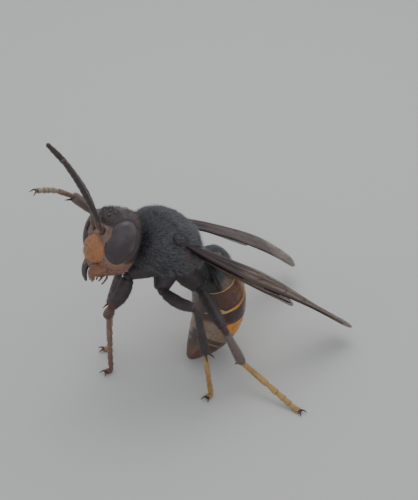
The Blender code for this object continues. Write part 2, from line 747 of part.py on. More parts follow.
def main():
    clear_scene()
    paints = {
        "head": material("head_brown", (0.24, 0.09, 0.03), 0.45),
        "eye": material("eye_dark", (0.035, 0.02, 0.02), 0.2),
        "mandible": material("mandible_brown", (0.30, 0.12, 0.04), 0.4),
        "antenna": material("antenna_brown", (0.05, 0.03, 0.025), 0.5),
        "thorax": material("thorax_black", (0.02, 0.017, 0.017), 0.7),
        "tegula": material("tegula_brown", (0.07, 0.03, 0.02), 0.4),
        "gaster": material("gaster_brown", (0.06, 0.03, 0.02), 0.4),
        "tail": material("gaster_orange", (0.45, 0.20, 0.04), 0.4),
        "leg": material("leg_brown", (0.04, 0.025, 0.02), 0.45),
        "tarsus": material("tarsus_yellow", (0.55, 0.36, 0.10), 0.45),
        "claw": material("claw_brown", (0.10, 0.05, 0.03), 0.4),
        "wing": material("wing_smoky", (0.16, 0.11, 0.07), 0.35),
    }
    make_head(paints)
    make_thorax(paints)
    for side, hand in (("left", 1), ("right", -1)):
        make_antenna(side, hand, paints)
    make_gaster(paints)
    for name, leg in LEGS.items():
        make_leg(name, leg, paints)
    for name in WINGS:
        make_wing(name, paints)
    centre_model()


main()
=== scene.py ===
"""Looks of the Asian hornet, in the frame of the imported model.

Lengths are in millimetres in the hornet's own frame (it faces -Y, its left side is +X, the floor is
Z = 0) and become metres, moved by ORIGIN, when a mesh is made.
"""

import math

import bmesh
import bpy
import numpy as np
from mathutils import Euler, Matrix, Vector

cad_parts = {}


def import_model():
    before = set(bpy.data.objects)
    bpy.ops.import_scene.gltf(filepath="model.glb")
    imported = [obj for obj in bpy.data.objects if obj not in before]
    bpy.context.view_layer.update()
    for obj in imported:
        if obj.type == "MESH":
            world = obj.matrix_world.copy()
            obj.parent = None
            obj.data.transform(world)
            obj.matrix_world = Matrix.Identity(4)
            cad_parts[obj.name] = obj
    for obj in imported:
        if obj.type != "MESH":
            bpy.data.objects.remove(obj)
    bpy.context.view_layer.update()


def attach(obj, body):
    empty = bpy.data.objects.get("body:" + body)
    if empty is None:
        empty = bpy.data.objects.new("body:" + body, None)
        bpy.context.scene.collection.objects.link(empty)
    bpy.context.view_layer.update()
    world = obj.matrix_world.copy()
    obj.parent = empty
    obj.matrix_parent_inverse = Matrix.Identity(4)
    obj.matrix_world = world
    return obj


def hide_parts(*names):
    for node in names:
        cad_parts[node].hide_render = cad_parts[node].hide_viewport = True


MM = 0.001
# The point under the middle of the model, which is the frame's origin.
ORIGIN = np.array((1.35, 2.55, 0.0))
SEED = 11
SIDES = (("left", 1), ("right", -1))

# Rings, and points to a ring, of the skins. A wing's points are those of one face.
HEAD_MESH = (150, 168)
EYE_MESH = (90, 110)
THORAX_MESH = (170, 192)
TEGULA_MESH = (40, 48)
GASTER_MESH = (46, 152)
LEG_MESH = (40, 32)
WING_MESHES = {"fore": (300, 40), "hind": (180, 32)}

HEAD_WIDTH = 5.0
HEAD_HEIGHT = 4.9
HEAD_DEPTH = 3.3
FRONT_SHARE = 0.53
HEAD_CENTRE = np.array((0.15, -5.25, 13.25))
HEAD_TURN = Euler((math.radians(-17), math.radians(-9), math.radians(6)))
HEAD_POWER = 2.35
CLYPEUS_CENTRE = (0.0, -1.42, -0.55)
CLYPEUS_SIZES = (1.3, 0.6, 1.12)
# How square the clypeus is below its middle and above it, and how softly it meets the face.
CLYPEUS_POWERS = (3.4, 2.0)
CLYPEUS_SOFTNESS = 0.05
EYE_CENTRE = (1.58, -0.34, 0.28)
EYE_SIZES = (0.93, 1.15, 1.78)
EYE_TURN = (-14, 3, -15)
NOTCH_CENTRE = (0.95, -1.55, 0.95)
NOTCH_RADIUS = 0.62
OCELLI = ((0.0, -0.55, 2.02), (0.32, -0.22, 2.24), (-0.32, -0.22, 2.24))
OCELLUS_SIZES = (0.14, 0.14, 0.12)

MANDIBLES = {
    "left": ((1.05, -1.1, -1.60), (0.66, -1.90, -2.12), (0.34, -1.62, -2.98)),
    "right": ((-1.15, -1.1, -1.60), (-0.95, -1.50, -2.45), (-0.33, -1.72, -3.14)),
}
# A jaw's half breadth and half depth along it, and how broad each jaw is and where its tip turns dark.
JAW_BREADTH = ((0, 0.30), (0.3, 0.30), (0.7, 0.21), (0.92, 0.10), (1, 0.03))
JAW_DEPTH = ((0, 0.50), (0.3, 0.54), (0.7, 0.36), (0.92, 0.15), (1, 0.04))
# The right jaw turns dark a fifth of the way along: its black teeth, inner edge and tip are its own
# colour, the rest of that dark is painted shade.
JAW_LOOKS = {"left": (1.0, 0.72), "right": (0.72, 0.2)}
# Each tooth's place along the jaw, and its size.
TEETH = ((0.60, 0.22), (0.74, 0.26), (0.86, 0.22))
LIP_CENTRE = (0, -0.75, -2.35)
LIP_SIZES = (0.62, 0.5, 0.42)
FEELERS = (
    ((0.55, -0.50, -2.3), (0.72, -0.60, -2.65), (0.66, -0.75, -2.95), (0.52, -0.85, -3.2)),
    ((0.22, -0.55, -2.4), (0.26, -0.70, -2.7), (0.22, -0.80, -2.9), (0.15, -0.90, -3.05)),
)
FEELER_RADIUS = 0.07

SOCKET = (0.50, -1.40, 0.92)
ANTENNAE = {
    "left": ((0.65, -6.65, 15.9), (0.75, -7.5, 18.1), (0.9, -8.45, 20.2), (1.15, -9.4, 21.9)),
    "right": ((-1.0, -6.0, 15.3), (-1.5, -6.5, 17.2), (-2.2, -7.55, 19.4), (-2.75, -8.75, 21.2)),
}
ANTENNA_RADIUS = 0.23
SCAPE_SHAPE = ((0, 0.7), (0.06, 0.95), (0.12, 0.6), (0.2, 0.85), (0.5, 1.0), (0.85, 1.12), (0.96, 1.0),
               (1, 0.5))
# Where the pedicel and the ten pieces of the flagellum end, as shares of its length.
FLAGELLUM_ENDS = (0.06, 0.21, 0.31, 0.41, 0.50, 0.59, 0.68, 0.765, 0.85, 0.93, 1.0)

THORAX_LENGTH = 6.9
THORAX_WIDTH = 5.4
THORAX_HEIGHT = 5.0
THORAX_CENTRE = np.array((0.0, -0.5, 11.3))
THORAX_TURN = Euler((math.radians(-28), 0, 0))
THORAX_POWER = 2.2
# How far the shell lies below the solid's surface, to leave room for the fur.
SKIN_UNDER_FUR = 0.12
# Grooves across the back: place along the thorax and depth.
THORAX_GROOVES = ((0.655, 0.20), (0.775, 0.16), (0.845, 0.14))
# Raised plates of the back: place, half length, height, and the shares of the width where they end.
THORAX_PLATES = ((0.715, 0.045, 0.16, 0.62, 0.35), (0.81, 0.025, 0.10, 0.50, 0.25))
# Seams of the flank: how far each leans with the height, and its place.
FLANK_SEAMS = ((-0.045, 0.30), (0.030, 0.66))
SEAM_DEPTH = 0.12
# The neck's first point is in the head's frame, the others in the thorax's.
NECK_FRONT = (0, 0.4, -0.1)
NECK_BACK = ((0, -3.45, -0.45), (0, -2.6, -0.3))
WAIST = ((0, 3.05, -0.45), (0, 3.6, -0.5))
WAIST_RADIUS = 0.34
TEGULA_CENTRE = (2.42, -0.9, 1.42)
TEGULA_SIZES = (0.5, 0.75, 0.5)
TEGULA_SLOPE = 48
TEGULA_FLATNESS = 0.6

GASTER_WIDTH = 5.2
GASTER_HEIGHT = 4.2
GASTER_PATH = (
    (0.0, 2.65, 9.2), (0.0, 3.7, 8.1), (0.05, 4.25, 6.4), (0.2, 4.25, 4.6),
    (0.5, 3.7, 3.0), (0.9, 2.4, 1.8), (1.4, 0.6, 0.8),
)
# Where each ring's edge is on the flank, as a share of the length, and how much nearer the front it is
# on the back, and nearer the tip on the belly.
GASTER_EDGES = (
    (0.0, 0.0), (0.225, 0.075), (0.45, 0.14), (0.605, 0.12), (0.715, 0.09), (0.84, 0.05), (1.0, 0.0),
)
# How far a ring reaches in under the one before it, as a share of the length.
RING_OVERLAP = 0.05
ORANGE_RINGS = (4, 5)

# A profile's rows: place along the length, then half width, reach above and reach below the axis,
# as shares of the part's length, half width and half height. The head's length is its height, and it
# reaches to the front and to the back.
HEAD_PROFILE = (
    (0.00, 0.34, 0.58, 0.30), (0.05, 0.52, 0.80, 0.62), (0.16, 0.72, 0.96, 0.84),
    (0.30, 0.88, 1.00, 0.92), (0.46, 0.98, 0.96, 0.96), (0.62, 1.00, 0.85, 1.00),
    (0.78, 0.92, 0.63, 1.02), (0.90, 0.75, 0.36, 1.00), (0.97, 0.47, 0.12, 0.84),
    (1.00, 0.18, 0.00, 0.56),
)
THORAX_PROFILE = (
    (0.00, 0.34, 0.20, 0.46), (0.05, 0.66, 0.52, 0.70), (0.13, 0.86, 0.80, 0.86),
    (0.25, 0.97, 0.98, 0.97), (0.40, 1.00, 1.02, 1.00), (0.55, 1.00, 0.96, 0.98),
    (0.64, 0.95, 0.85, 0.95), (0.68, 0.93, 0.80, 0.93), (0.76, 0.87, 0.63, 0.90),
    (0.84, 0.76, 0.40, 0.84), (0.92, 0.58, 0.18, 0.70), (1.00, 0.30, 0.02, 0.40),
)
GASTER_PROFILE = (
    (0.00, 0.16, 0.18, 0.18), (0.04, 0.26, 0.28, 0.28), (0.10, 0.62, 0.54, 0.60),
    (0.18, 0.88, 0.62, 0.86), (0.30, 1.00, 0.77, 1.00), (0.48, 1.00, 0.86, 1.00),
    (0.64, 0.86, 0.82, 0.88), (0.78, 0.64, 0.70, 0.68), (0.90, 0.38, 0.44, 0.42),
    (1.00, 0.10, 0.12, 0.10),
)

TOE_HEIGHT = 0.2
# How far a foot's ball is from its toe, and its instep from its ball.
BALL = 0.45
INSTEP = 1.0
# Hip, trochanter, knee, heel, toe, and the foot's heading in degrees, or None for the raised leg.
LEGS = {
    "fore_left": ((0.95, -2.9, 10.5), (0.5, -4.15, 10.05), (0.66, -5.8, 7.7), (-1.57, -4.95, 5.35),
                  (-1.25, -5.5, TOE_HEIGHT), -80),
    "fore_right": ((-1.0, -2.9, 10.4), (-1.7, -3.8, 9.7), (-3.8, -3.9, 12.7), (-4.0, -6.2, 15.3),
                   (-3.9, -9.2, 16.8), None),
    "mid_left": ((1.1, -1.3, 9.3), (1.8, -2.1, 8.6), (5.7, -1.3, 8.9), (6.1, -0.8, 4.8),
                 (5.8, -0.4, TOE_HEIGHT), -66),
    "mid_right": ((-1.1, -1.3, 9.3), (-1.9, -1.8, 8.6), (-5.0, -1.5, 7.9), (-3.4, -3.8, 4.8),
                  (-4.0, -4.2, TOE_HEIGHT), -115),
    "hind_left": ((1.3, 0.8, 8.5), (2.0, 1.2, 7.7), (6.2, 0.8, 6.6), (5.4, 3.0, 2.0),
                  (11.0, 4.7, TOE_HEIGHT), 15),
    "hind_right": ((-1.3, 0.8, 8.5), (-2.0, 1.2, 7.7), (-5.6, 2.8, 8.5), (-7.2, 4.6, 3.6),
                   (-8.3, 8.4, TOE_HEIGHT), 110),
}
# Thickness of coxa, thigh, shin and foot.
LEG_THICKNESS = {
    "fore": (1.70, 1.12, 0.88, 0.50),
    "mid": (1.90, 0.92, 0.76, 0.50),
    "hind": (1.90, 0.98, 0.80, 0.52),
}
# Places along a piece, and its radius there as a share of the coxa's thickness or of half the others'.
COXA_SHAPE = ((0, 0.55), (0.5, 0.5), (0.8, 0.36), (0.95, 0.30), (1, 0.18))
FEMUR_SHAPE = ((0, 0.50), (0.04, 0.62), (0.10, 0.82), (0.40, 1.0), (0.72, 0.95), (0.90, 0.74),
               (0.97, 0.70), (1, 0.42))
TIBIA_SHAPE = ((0, 0.40), (0.04, 0.62), (0.10, 0.74), (0.16, 0.72), (0.45, 0.82), (0.80, 1.0),
               (0.95, 0.98), (1, 0.62))
FIRST_TARSOMERE_SHAPE = ((0, 0.5), (0.05, 0.8), (0.2, 0.86), (0.9, 1.0), (0.97, 0.96), (1, 0.7))
TARSOMERE_SHAPE = ((0, 0.42), (0.06, 0.62), (0.2, 0.74), (0.85, 1.0), (0.96, 0.98), (1, 0.7))
TARSOMERE_ENDS = (0.46, 0.62, 0.74, 0.84, 1.00)
# How far the middle of a thigh lies off the straight line.
FEMUR_BOWS = {"mid_left": np.array((0.0, 0.0, -0.30)), "fore_left": np.array((0.15, 0.1, -0.12))}
# How brown the rings at the joints of a foot are, and the feet where that differs.
JOINT_RING = 0.4
JOINT_RINGS = {"mid_left": 1.0, "fore_right": 0.5}
# How brown and how pale each joint of a foot is, where the foot isn't plain yellow.
FOOT_TONES = {
    "fore_left": ((0.62, 0.9),) * 5,
    "fore_right": ((0.65, 1.0), (0.3, 0.8), (0.0, 0.9), (0.0, 0.9), (0.0, 0.9)),
    "mid_right": ((0.2, 0.0),) * 5,
}
YELLOW_FOOT = ((0.0, 0.0),) * 5
# How red and how greyish brown a shin is.
RUSTY = {"fore_left": 0.95, "fore_right": 0.1, "mid_right": 0.1, "hind_left": 0.1}
DUSTY = {"hind_left": 0.9, "fore_right": 0.8, "mid_right": 0.4}

# Each wing: its axis from the root, full width, tilt of its outer edge at root and tip in degrees.
WINGS = {
    "forewing_left": (
        ((2.35, -0.6, 12.85), (2.72, 0.6, 11.85), (3.2, 3.9, 9.3), (3.9, 8.1, 6.15), (4.6, 12.4, 2.4),
         (4.8, 13.7, 1.4)), 2.1, 24, -4),
    "forewing_right": (
        ((-2.35, -0.6, 12.85), (-2.75, 0.8, 11.75), (-3.45, 6.1, 8.6), (-4.2, 11.2, 5.0),
         (-4.68, 15.0, 1.55)), 2.15, -6, -18),
    "hindwing_left": (((2.35, 0.0, 12.0), (2.8, 1.2, 10.9), (3.55, 4.2, 8.55), (4.4, 8.4, 5.1)),
                      1.5, 16, 10),
    "hindwing_right": (((-2.35, 0.1, 12.1), (-2.75, 1.5, 11.2), (-3.55, 5.1, 9.0), (-4.05, 9.5, 5.9)),
                       1.5, -8, -14),
}
WING_OUTLINE = ((0.00, 0.22), (0.05, 0.24), (0.12, 0.44), (0.32, 0.80), (0.62, 1.00), (0.84, 1.04),
                (0.91, 1.04), (0.96, 0.92), (0.985, 0.68), (1.00, 0.34))
# Veins as lines over the blade: place along it and place across it, then half width in mm.
FORE_VEINS = (
    (((0.0, 0.80), (0.3, 0.93), (0.62, 0.975), (0.8, 0.97), (0.94, 0.90)), 0.10),
    (((0.0, 0.60), (0.25, 0.78), (0.50, 0.88), (0.60, 0.93)), 0.075),
    (((0.0, 0.42), (0.25, 0.50), (0.45, 0.56), (0.62, 0.62), (0.80, 0.66), (0.9, 0.72)), 0.05),
    (((0.0, 0.22), (0.3, 0.20), (0.6, 0.24), (0.78, 0.32)), 0.05),
    (((0.40, 0.84), (0.46, 0.56)), 0.055),
    (((0.56, 0.90), (0.60, 0.62), (0.57, 0.24)), 0.055),
    (((0.66, 0.95), (0.72, 0.64), (0.68, 0.28)), 0.05),
    (((0.46, 0.56), (0.43, 0.22)), 0.05),
)
HIND_VEINS = (
    (((0.0, 0.8), (0.35, 0.94), (0.7, 0.95), (0.95, 0.8)), 0.08),
    (((0.0, 0.5), (0.4, 0.58), (0.7, 0.62), (0.85, 0.6)), 0.05),
    (((0.0, 0.3), (0.4, 0.28), (0.65, 0.3)), 0.045),
    (((0.55, 0.95), (0.58, 0.6)), 0.04),
)
MEMBRANE = 0.05
# A blade's layers: height over the axis, height of the veins, and share of the full width. A hindwing
# has only the first.
WING_LAYERS = ((0.0, 0.03, 1.0), (-0.10, 0.012, 0.93))
# How far along the wing's colours each place is: they are dark below about 0.32, clear above 0.64.
WING_TONES = {
    "forewing_left": ((0, 1), (0, 1.15)),
    "forewing_right": ((0, 0.38, 0.76, 0.84, 1), (0, 0.39, 0.405, 0.62, 1)),
    "hindwing_left": ((0, 1), (0.25, 0.75)),
    "hindwing_right": ((0, 1), (0.25, 0.70)),
}

# Hair by place: how many, shortest and longest, radius, lean along the rings, spread and droop.
HAIR = {
    "crown": (2400, (0.12, 0.26), 0.007, 0.25, 0.5, 0.2),
    "face": (1500, (0.08, 0.18), 0.007, 0.2, 0.5, 0.2),
    "scape": (260, (0.05, 0.10), 0.006, 0.6, 0.4, 0.2),
    "flagellum": (1500, (0.03, 0.06), 0.005, 0.5, 0.4, 0.2),
    "fur": (15300, (0.18, 0.36), 0.011, 0.7, 0.5, 0.35),
    "long fur": (3300, (0.32, 0.52), 0.009, 0.5, 0.6, 0.35),
    "wing cap": (520, (0.10, 0.24), 0.009, 0.6, 0.4, 0.3),
    "first ring": (1700, (0.14, 0.30), 0.009, 0.8, 0.4, 0.35),
    "gaster": (800, (0.10, 0.20), 0.007, 1.3, 0.3, 0.3),
    "leg base": (220, (0.12, 0.25), 0.008, 0.4, 0.5, 0.2),
    "thigh": (700, (0.10, 0.22), 0.007, 1.0, 0.4, 0.25),
    "shin": (800, (0.10, 0.22), 0.007, 1.0, 0.4, 0.2),
    "fore shin": (300, (0.10, 0.22), 0.007, 1.0, 0.4, 0.2),
    "first tarsomere": (260, (0.06, 0.13), 0.006, 1.1, 0.4, 0.15),
    "tarsomere": (90, (0.06, 0.13), 0.006, 1.1, 0.4, 0.15),
}

CAMERA_AZIMUTH = 58
CAMERA_ELEVATION = 33
CAMERA_DISTANCE = 120.0
PIXELS_PER_MM = 13.0
FRAME_PIXELS = (418, 500)
TARGET = (0.0, 0.0, 11.0)
TARGET_PIXEL = (172, 245)
SENSOR = 36.0
# A lamp's place, width, power and colour.
KEY_LIGHT = ((-40, 30, 110), 90, 0.034, (1, 1, 1))
FILL_LIGHT = ((100, -60, 70), 90, 0.010, (1.0, 0.98, 0.95))
LIGHTS_AIM = Vector((0, 0, 8))
SKY = (0.80, 0.84, 0.88, 1)
SKY_STRENGTH = 0.88
# In metres.
FLOOR_REACH = 2.0


def smoothstep(low, high, value):
    t = np.clip((np.asarray(value, float) - low) / (high - low), 0.0, 1.0)
    return t * t * (3 - 2 * t)


def bump_at(value, centre, width):
    """A smooth hill of height 1 around a place."""
    return np.exp(-((np.asarray(value, float) - centre) / width) ** 2)


def eased(count):
    """Shares from 0 to 1, closer together at both ends."""
    return 0.5 - 0.5 * np.cos(math.pi * np.linspace(0, 1, count))


def shaped(shape, share):
    """Sizes along a piece, on straight lines between the rows of its shape."""
    return np.interp(share, *zip(*shape))


def profile_at(profile, places):
    """The columns of a profile at many places, on a smooth curve through its rows."""
    rows = np.array(profile, float)
    x, y = rows[:, 0], rows[:, 1:]
    slopes = np.gradient(y, x, axis=0)
    places = np.clip(places, x[0], x[-1])
    k = np.clip(np.searchsorted(x, places, side="right") - 1, 0, len(x) - 2)
    span = (x[k + 1] - x[k])[:, None]
    t = ((places - x[k]) / span[:, 0])[:, None]
    return (
        y[k] * (2 * t**3 - 3 * t**2 + 1) + slopes[k] * span * (t**3 - 2 * t**2 + t)
        + y[k + 1] * (3 * t**2 - 2 * t**3) + slopes[k + 1] * span * (t**3 - t**2)
    )


class Path:
    """A smooth curve through a few points, read by distance along it."""

    STEPS = 24
    REACH = 0.02

    def __init__(self, points):
        points = np.array(points, float)
        ends = np.vstack((2 * points[0] - points[1], points, 2 * points[-1] - points[-2]))
        t = (np.arange(self.STEPS) / self.STEPS)[:, None]
        fine = []
        for a, b, c, d in zip(ends, ends[1:], ends[2:], ends[3:]):
            fine.append(0.5 * (2 * b + (c - a) * t + (2 * a - 5 * b + 4 * c - d) * t**2
                               + (3 * b - a - 3 * c + d) * t**3))
        self.fine = np.vstack((*fine, points[-1:]))
        steps = np.linalg.norm(np.diff(self.fine, axis=0), axis=1)
        self.run = np.concatenate(((0.0,), np.cumsum(steps)))
        self.length = self.run[-1]

    def at(self, shares):
        shares = np.atleast_1d(np.asarray(shares, float)) * self.length
        return np.stack([np.interp(shares, self.run, self.fine[:, i]) for i in range(3)], axis=1)

    def ahead(self, shares):
        further = self.at(np.minimum(shares + self.REACH, 1))
        return unit(further - self.at(np.maximum(shares - self.REACH, 0)))


def unit(vectors):
    return vectors / np.maximum(np.linalg.norm(vectors, axis=-1, keepdims=True), 1e-12)


def oval(sides, power=2.0):
    """Cosines and sines of an oval with squarer corners as the power grows."""
    angle = math.tau * (np.arange(sides) + 0.5) / sides
    c, s = np.cos(angle), np.sin(angle)
    return (np.sign(c) * np.abs(c) ** (2 / power), np.sign(s) * np.abs(s) ** (2 / power))


def rings(centres, side, up, half_width, above, below, sides, power):
    """A grid of points, one oval ring to a row. Sizes may be one number to a row."""
    c, s = oval(sides, power)
    half_width, above, below = (np.broadcast_to(np.asarray(size, float), (len(centres),))[:, None]
                                for size in (half_width, above, below))
    x = half_width * c
    y = np.where(s > 0, above, below) * s
    side, up = (np.broadcast_to(np.asarray(axis, float), centres.shape) for axis in (side, up))
    return centres[:, None] + side[:, None] * x[..., None] + up[:, None] * y[..., None]


def tube(path, shares, half_width, half_height, sides, across=None, power=2.0):
    """Rings along a path, turned as little as the path allows."""
    if across is None:
        whole = np.abs(path.at(1)[0] - path.at(0)[0])
        across = np.eye(3)[int(np.argmin(whole))]
    ahead = path.ahead(shares)
    side = unit(across - ahead * (ahead @ np.asarray(across, float))[:, None])
    up = np.cross(side, ahead)
    return rings(path.at(shares), side, up, half_width, half_height, half_height, sides, power)


def ellipsoid(centre, sizes, rows, sides):
    """A grid of rings over an ellipsoid, from pole to pole along its Z axis."""
    pole = math.pi / 2 * 0.985
    angle = np.linspace(-pole, pole, rows)
    c, s = oval(sides)
    local = np.stack((np.cos(angle)[:, None] * c * sizes[0], np.cos(angle)[:, None] * s * sizes[1],
                      np.broadcast_to((np.sin(angle) * sizes[2])[:, None], (rows, sides))), axis=-1)
    return local + np.asarray(centre)


def normals_of(grid):
    """Outward normals of a grid of rings."""
    along = np.gradient(grid, axis=0)
    around = (np.roll(grid, -1, axis=1) - np.roll(grid, 1, axis=1)) / 2
    normal = unit(np.cross(around, along))
    outward = grid - grid.mean(axis=1, keepdims=True)
    flip = np.sign((normal * outward).sum(axis=-1).mean())
    return normal * (flip if flip else 1.0)


def displace(grid, amount):
    """Moves each point out along its normal."""
    return grid + normals_of(grid) * np.asarray(amount)[..., None]


def on_floor(grid, height=0.0):
    """Lifts what lies lower to a height over the floor."""
    grid[..., 2] = np.maximum(grid[..., 2], height)
    return grid


def turned(points, turn, centre):
    """Points of a local frame, in the hornet's frame."""
    return np.asarray(points) @ np.array(turn.to_matrix()).T + np.asarray(centre)


def head_points(points):
    return turned(points, HEAD_TURN, HEAD_CENTRE)


def thorax_points(points):
    return turned(points, THORAX_TURN, THORAX_CENTRE)


def mirrored(point, hand):
    return np.array((point[0] * hand, point[1], point[2]))


def grid_faces(rows, sides):
    """Corner numbers of the quads of a grid of closed rings."""
    r, i = np.meshgrid(np.arange(rows - 1), np.arange(sides), indexing="ij")
    j = (i + 1) % sides
    return np.stack((r * sides + i, r * sides + j, (r + 1) * sides + j, (r + 1) * sides + i),
                    axis=-1).reshape(-1, 4)


def new_mesh(name, points, faces, values):
    """A mesh, with a number to each point under each name."""
    mesh = bpy.data.meshes.new(name)
    mesh.from_pydata(((points - ORIGIN) * MM).tolist(), [], faces)
    for label, numbers in values.items():
        layer = mesh.attributes.new(label, "FLOAT", "POINT")
        layer.data.foreach_set("value", numbers.astype(np.float32))
    return mesh


def new_piece(name, mesh, paint, replaces=()):
    """The finished object, riding on the model's one body."""
    mesh.materials.append(paint)
    body = bpy.data.objects.new(name, mesh)
    bpy.context.scene.collection.objects.link(body)
    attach(body, "root")
    if replaces:
        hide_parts(*replaces)


class Shape:
    """Points and faces of one piece, gathered from many grids, with values to each point."""

    def __init__(self):
        self.points, self.faces, self.values, self.count = [], [], {}, 0

    def tube(self, grid, **values):
        """A closed tube: its rings and a fan at each end. A value is one number, or one to a ring or
        point."""
        rows, sides, _ = grid.shape
        for name in {**self.values, **values}:
            kept = self.values.setdefault(name, [np.zeros(self.count)])
            value = np.broadcast_to(np.asarray(values.get(name, 0.0), float), (rows, sides))
            kept.append(np.concatenate((value.ravel(), (value[0].mean(), value[-1].mean()))))
        self.points.append(np.vstack((grid.reshape(-1, 3), grid[0].mean(axis=0), grid[-1].mean(axis=0))))
        first = self.count
        fans = first + rows * sides
        last = fans - sides
        self.faces.extend((grid_faces(rows, sides) + first).tolist())
        for i in range(sides):
            j = (i + 1) % sides
            self.faces.append((fans, first + j, first + i))
            self.faces.append((fans + 1, last + i, last + j))
        self.count = fans + 2
        return self

    def make(self, name, paint, slot, replaces=()):
        values = {label: np.concatenate(parts) for label, parts in self.values.items()}
        mesh = new_mesh(name, np.vstack(self.points), self.faces, values)
        bm = bmesh.new()
        bm.from_mesh(mesh)
        bmesh.ops.recalc_face_normals(bm, faces=bm.faces)
        bm.to_mesh(mesh)
        bm.free()
        mesh.polygons.foreach_set("use_smooth", np.ones(len(mesh.polygons), bool))
        new_piece(name, mesh, paint, replaces)


def scatter(grid, count, rng, weight):
    """Random places on a grid of rings: point, normal, way along the rings, and its own unwrap."""
    normal = normals_of(grid)
    rows, sides, _ = grid.shape
    wrapped = np.concatenate((grid, grid[:, :1]), axis=1)
    along = np.linalg.norm(np.diff(wrapped, axis=0), axis=-1)[:, :-1]
    around = np.linalg.norm(np.diff(wrapped, axis=1), axis=-1)[:-1]
    area = along * around
    if weight is not None:
        area = area * weight[:-1]
    chosen = rng.choice(area.size, count, p=(area / area.sum()).ravel())
    row, column = np.unravel_index(chosen, area.shape)
    a, b = rng.random(count)[:, None], rng.random(count)[:, None]
    right = (column + 1) % sides

    def blend(values):
        low = values[row, column] * (1 - b) + values[row, right] * b
        high = values[row + 1, column] * (1 - b) + values[row + 1, right] * b
        return low * (1 - a) + high * a

    way = unit(grid[row + 1, column] - grid[row, column])
    place = np.stack(((column + b[:, 0]) / sides, (row + a[:, 0]) / (rows - 1)), axis=1)
    return blend(grid), unit(blend(normal)), way, place


class Coat:
    """Thin tapered hairs, each closed, with its own small patch of the skin's unwrap."""

    SINK = 0.05
    PATCH = 0.0015
    # A hair's points are its foot's three corners, its middle's three and its tip: how near the tip
    # each is, and its place in the patch.
    TIPS = (0, 0, 0, 0.5, 0.5, 0.5, 1.0)
    PLACES = ((-1, -1), (1, -1), (0, 1), (-1, 0), (1, 0), (0, 0.6), (0, 0))
    FACES = ((0, 2, 1), (0, 1, 4), (0, 4, 3), (1, 2, 5), (1, 5, 4), (2, 0, 3), (2, 3, 5),
             (3, 4, 6), (4, 5, 6), (5, 3, 6))

    def __init__(self, seed):
        self.rng = np.random.default_rng(seed)
        self.points, self.shades, self.places = [], [], []

    def grow(self, grid, kind, weight=None, area=(0.0, 1.0)):
        """Hairs on a grid; the area is the part of the unwrap's height that they take."""
        rng = self.rng
        count, length, radius, lean, spread, bend = HAIR[kind]
        root, normal, way, place = scatter(grid, count, rng, weight)
        aim = unit(normal + way * lean + rng.normal(0, spread, (count, 3)) * 0.5)
        size = rng.uniform(*length, count)[:, None]
        thick = radius * rng.uniform(0.75, 1.25, count)[:, None]
        side = unit(np.cross(aim, way + rng.normal(0, 0.2, (count, 3))))
        up = np.cross(side, aim)
        start = root - normal * self.SINK
        middle = start + aim * (size + self.SINK) * 0.5
        droop = unit(way - normal * 0.35)
        corners = []
        for centre, share in ((start, 1.0), (middle, 0.75)):
            for k in range(3):
                angle = math.tau * k / 3
                corners.append(centre + (side * math.cos(angle) + up * math.sin(angle))
                               * thick * share)
        corners.append(start + aim * (size + self.SINK) + droop * size * bend)
        self.points.append(on_floor(np.stack(corners, axis=1)))
        self.shades.append(rng.random(count))
        self.places.append(place * (1, area[1] - area[0]) + (0, area[0]))

    def make(self, name, paint, slot):
        hairs = np.concatenate(self.points)
        count, corners, _ = hairs.shape
        faces = (np.array(self.FACES) + (np.arange(count) * corners)[:, None, None]).reshape(-1, 3)
        shade = np.repeat(np.concatenate(self.shades), corners)
        values = {"tip": np.tile(self.TIPS, count), "shade": shade}
        mesh = new_mesh(name, hairs.reshape(-1, 3), faces.tolist(), values)
        places = np.concatenate(self.places)[:, None] + np.array(self.PLACES) * self.PATCH
        loops = np.clip(places, 0.0, 1.0).reshape(-1, 2)[faces.ravel()]
        layer = mesh.uv_layers.new(name="OFBake")
        layer.data.foreach_set("uv", loops.astype(np.float32).ravel())
        new_piece(name, mesh, paint)


def feed(tree, value, socket):
    """Gives a socket a number, a colour or what another socket holds."""
    if isinstance(value, (int, float)):
        socket.default_value = value
    elif isinstance(value, tuple):
        socket.default_value = (*value, 1.0)
    else:
        tree.links.new(value, socket)


def node(tree, kind, **inputs):
    made = tree.nodes.new("ShaderNode" + kind)
    for name, value in inputs.items():
        feed(tree, value, made.inputs[name.replace("_", " ")])
    return made


def coordinates(tree, scale):
    """Places in millimetres times a scale, which may differ by axis."""
    where = tree.nodes.new("ShaderNodeTexCoord")
    sizes = scale if isinstance(scale, tuple) else (scale,) * 3
    mapping = node(tree, "Mapping", Vector=where.outputs["Object"])
    mapping.inputs["Scale"].default_value = [size / MM for size in sizes]
    return mapping.outputs["Vector"]


def noise(tree, scale, detail):
    made = node(tree, "TexNoise", Vector=coordinates(tree, scale), Scale=1.0, Detail=detail,
                Roughness=0.55)
    return made.outputs["Fac"]


def cells(tree, scale):
    return node(tree, "TexVoronoi", Vector=coordinates(tree, scale), Scale=1.0).outputs["Distance"]


def fitted(tree, value, low, high, to_low=0.0, to_high=1.0):
    """A value moved from one range to another, smoothly and clamped."""
    made = node(tree, "MapRange", Value=value, From_Min=low, From_Max=high, To_Min=to_low,
                To_Max=to_high)
    made.interpolation_type = "SMOOTHSTEP"
    return made.outputs["Result"]


def maths(tree, operation, a, b):
    made = node(tree, "Math")
    made.operation = operation
    feed(tree, a, made.inputs[0])
    feed(tree, b, made.inputs[1])
    return made.outputs[0]


def blended(tree, share, low, high, way="MIX"):
    """One colour going over into another, or multiplied by it; each is three numbers or a socket."""
    made = tree.nodes.new("ShaderNodeMix")
    made.data_type = "RGBA"
    made.blend_type = way
    feed(tree, share, made.inputs["Factor"])
    feed(tree, low, made.inputs[6])
    feed(tree, high, made.inputs[7])
    return made.outputs[2]


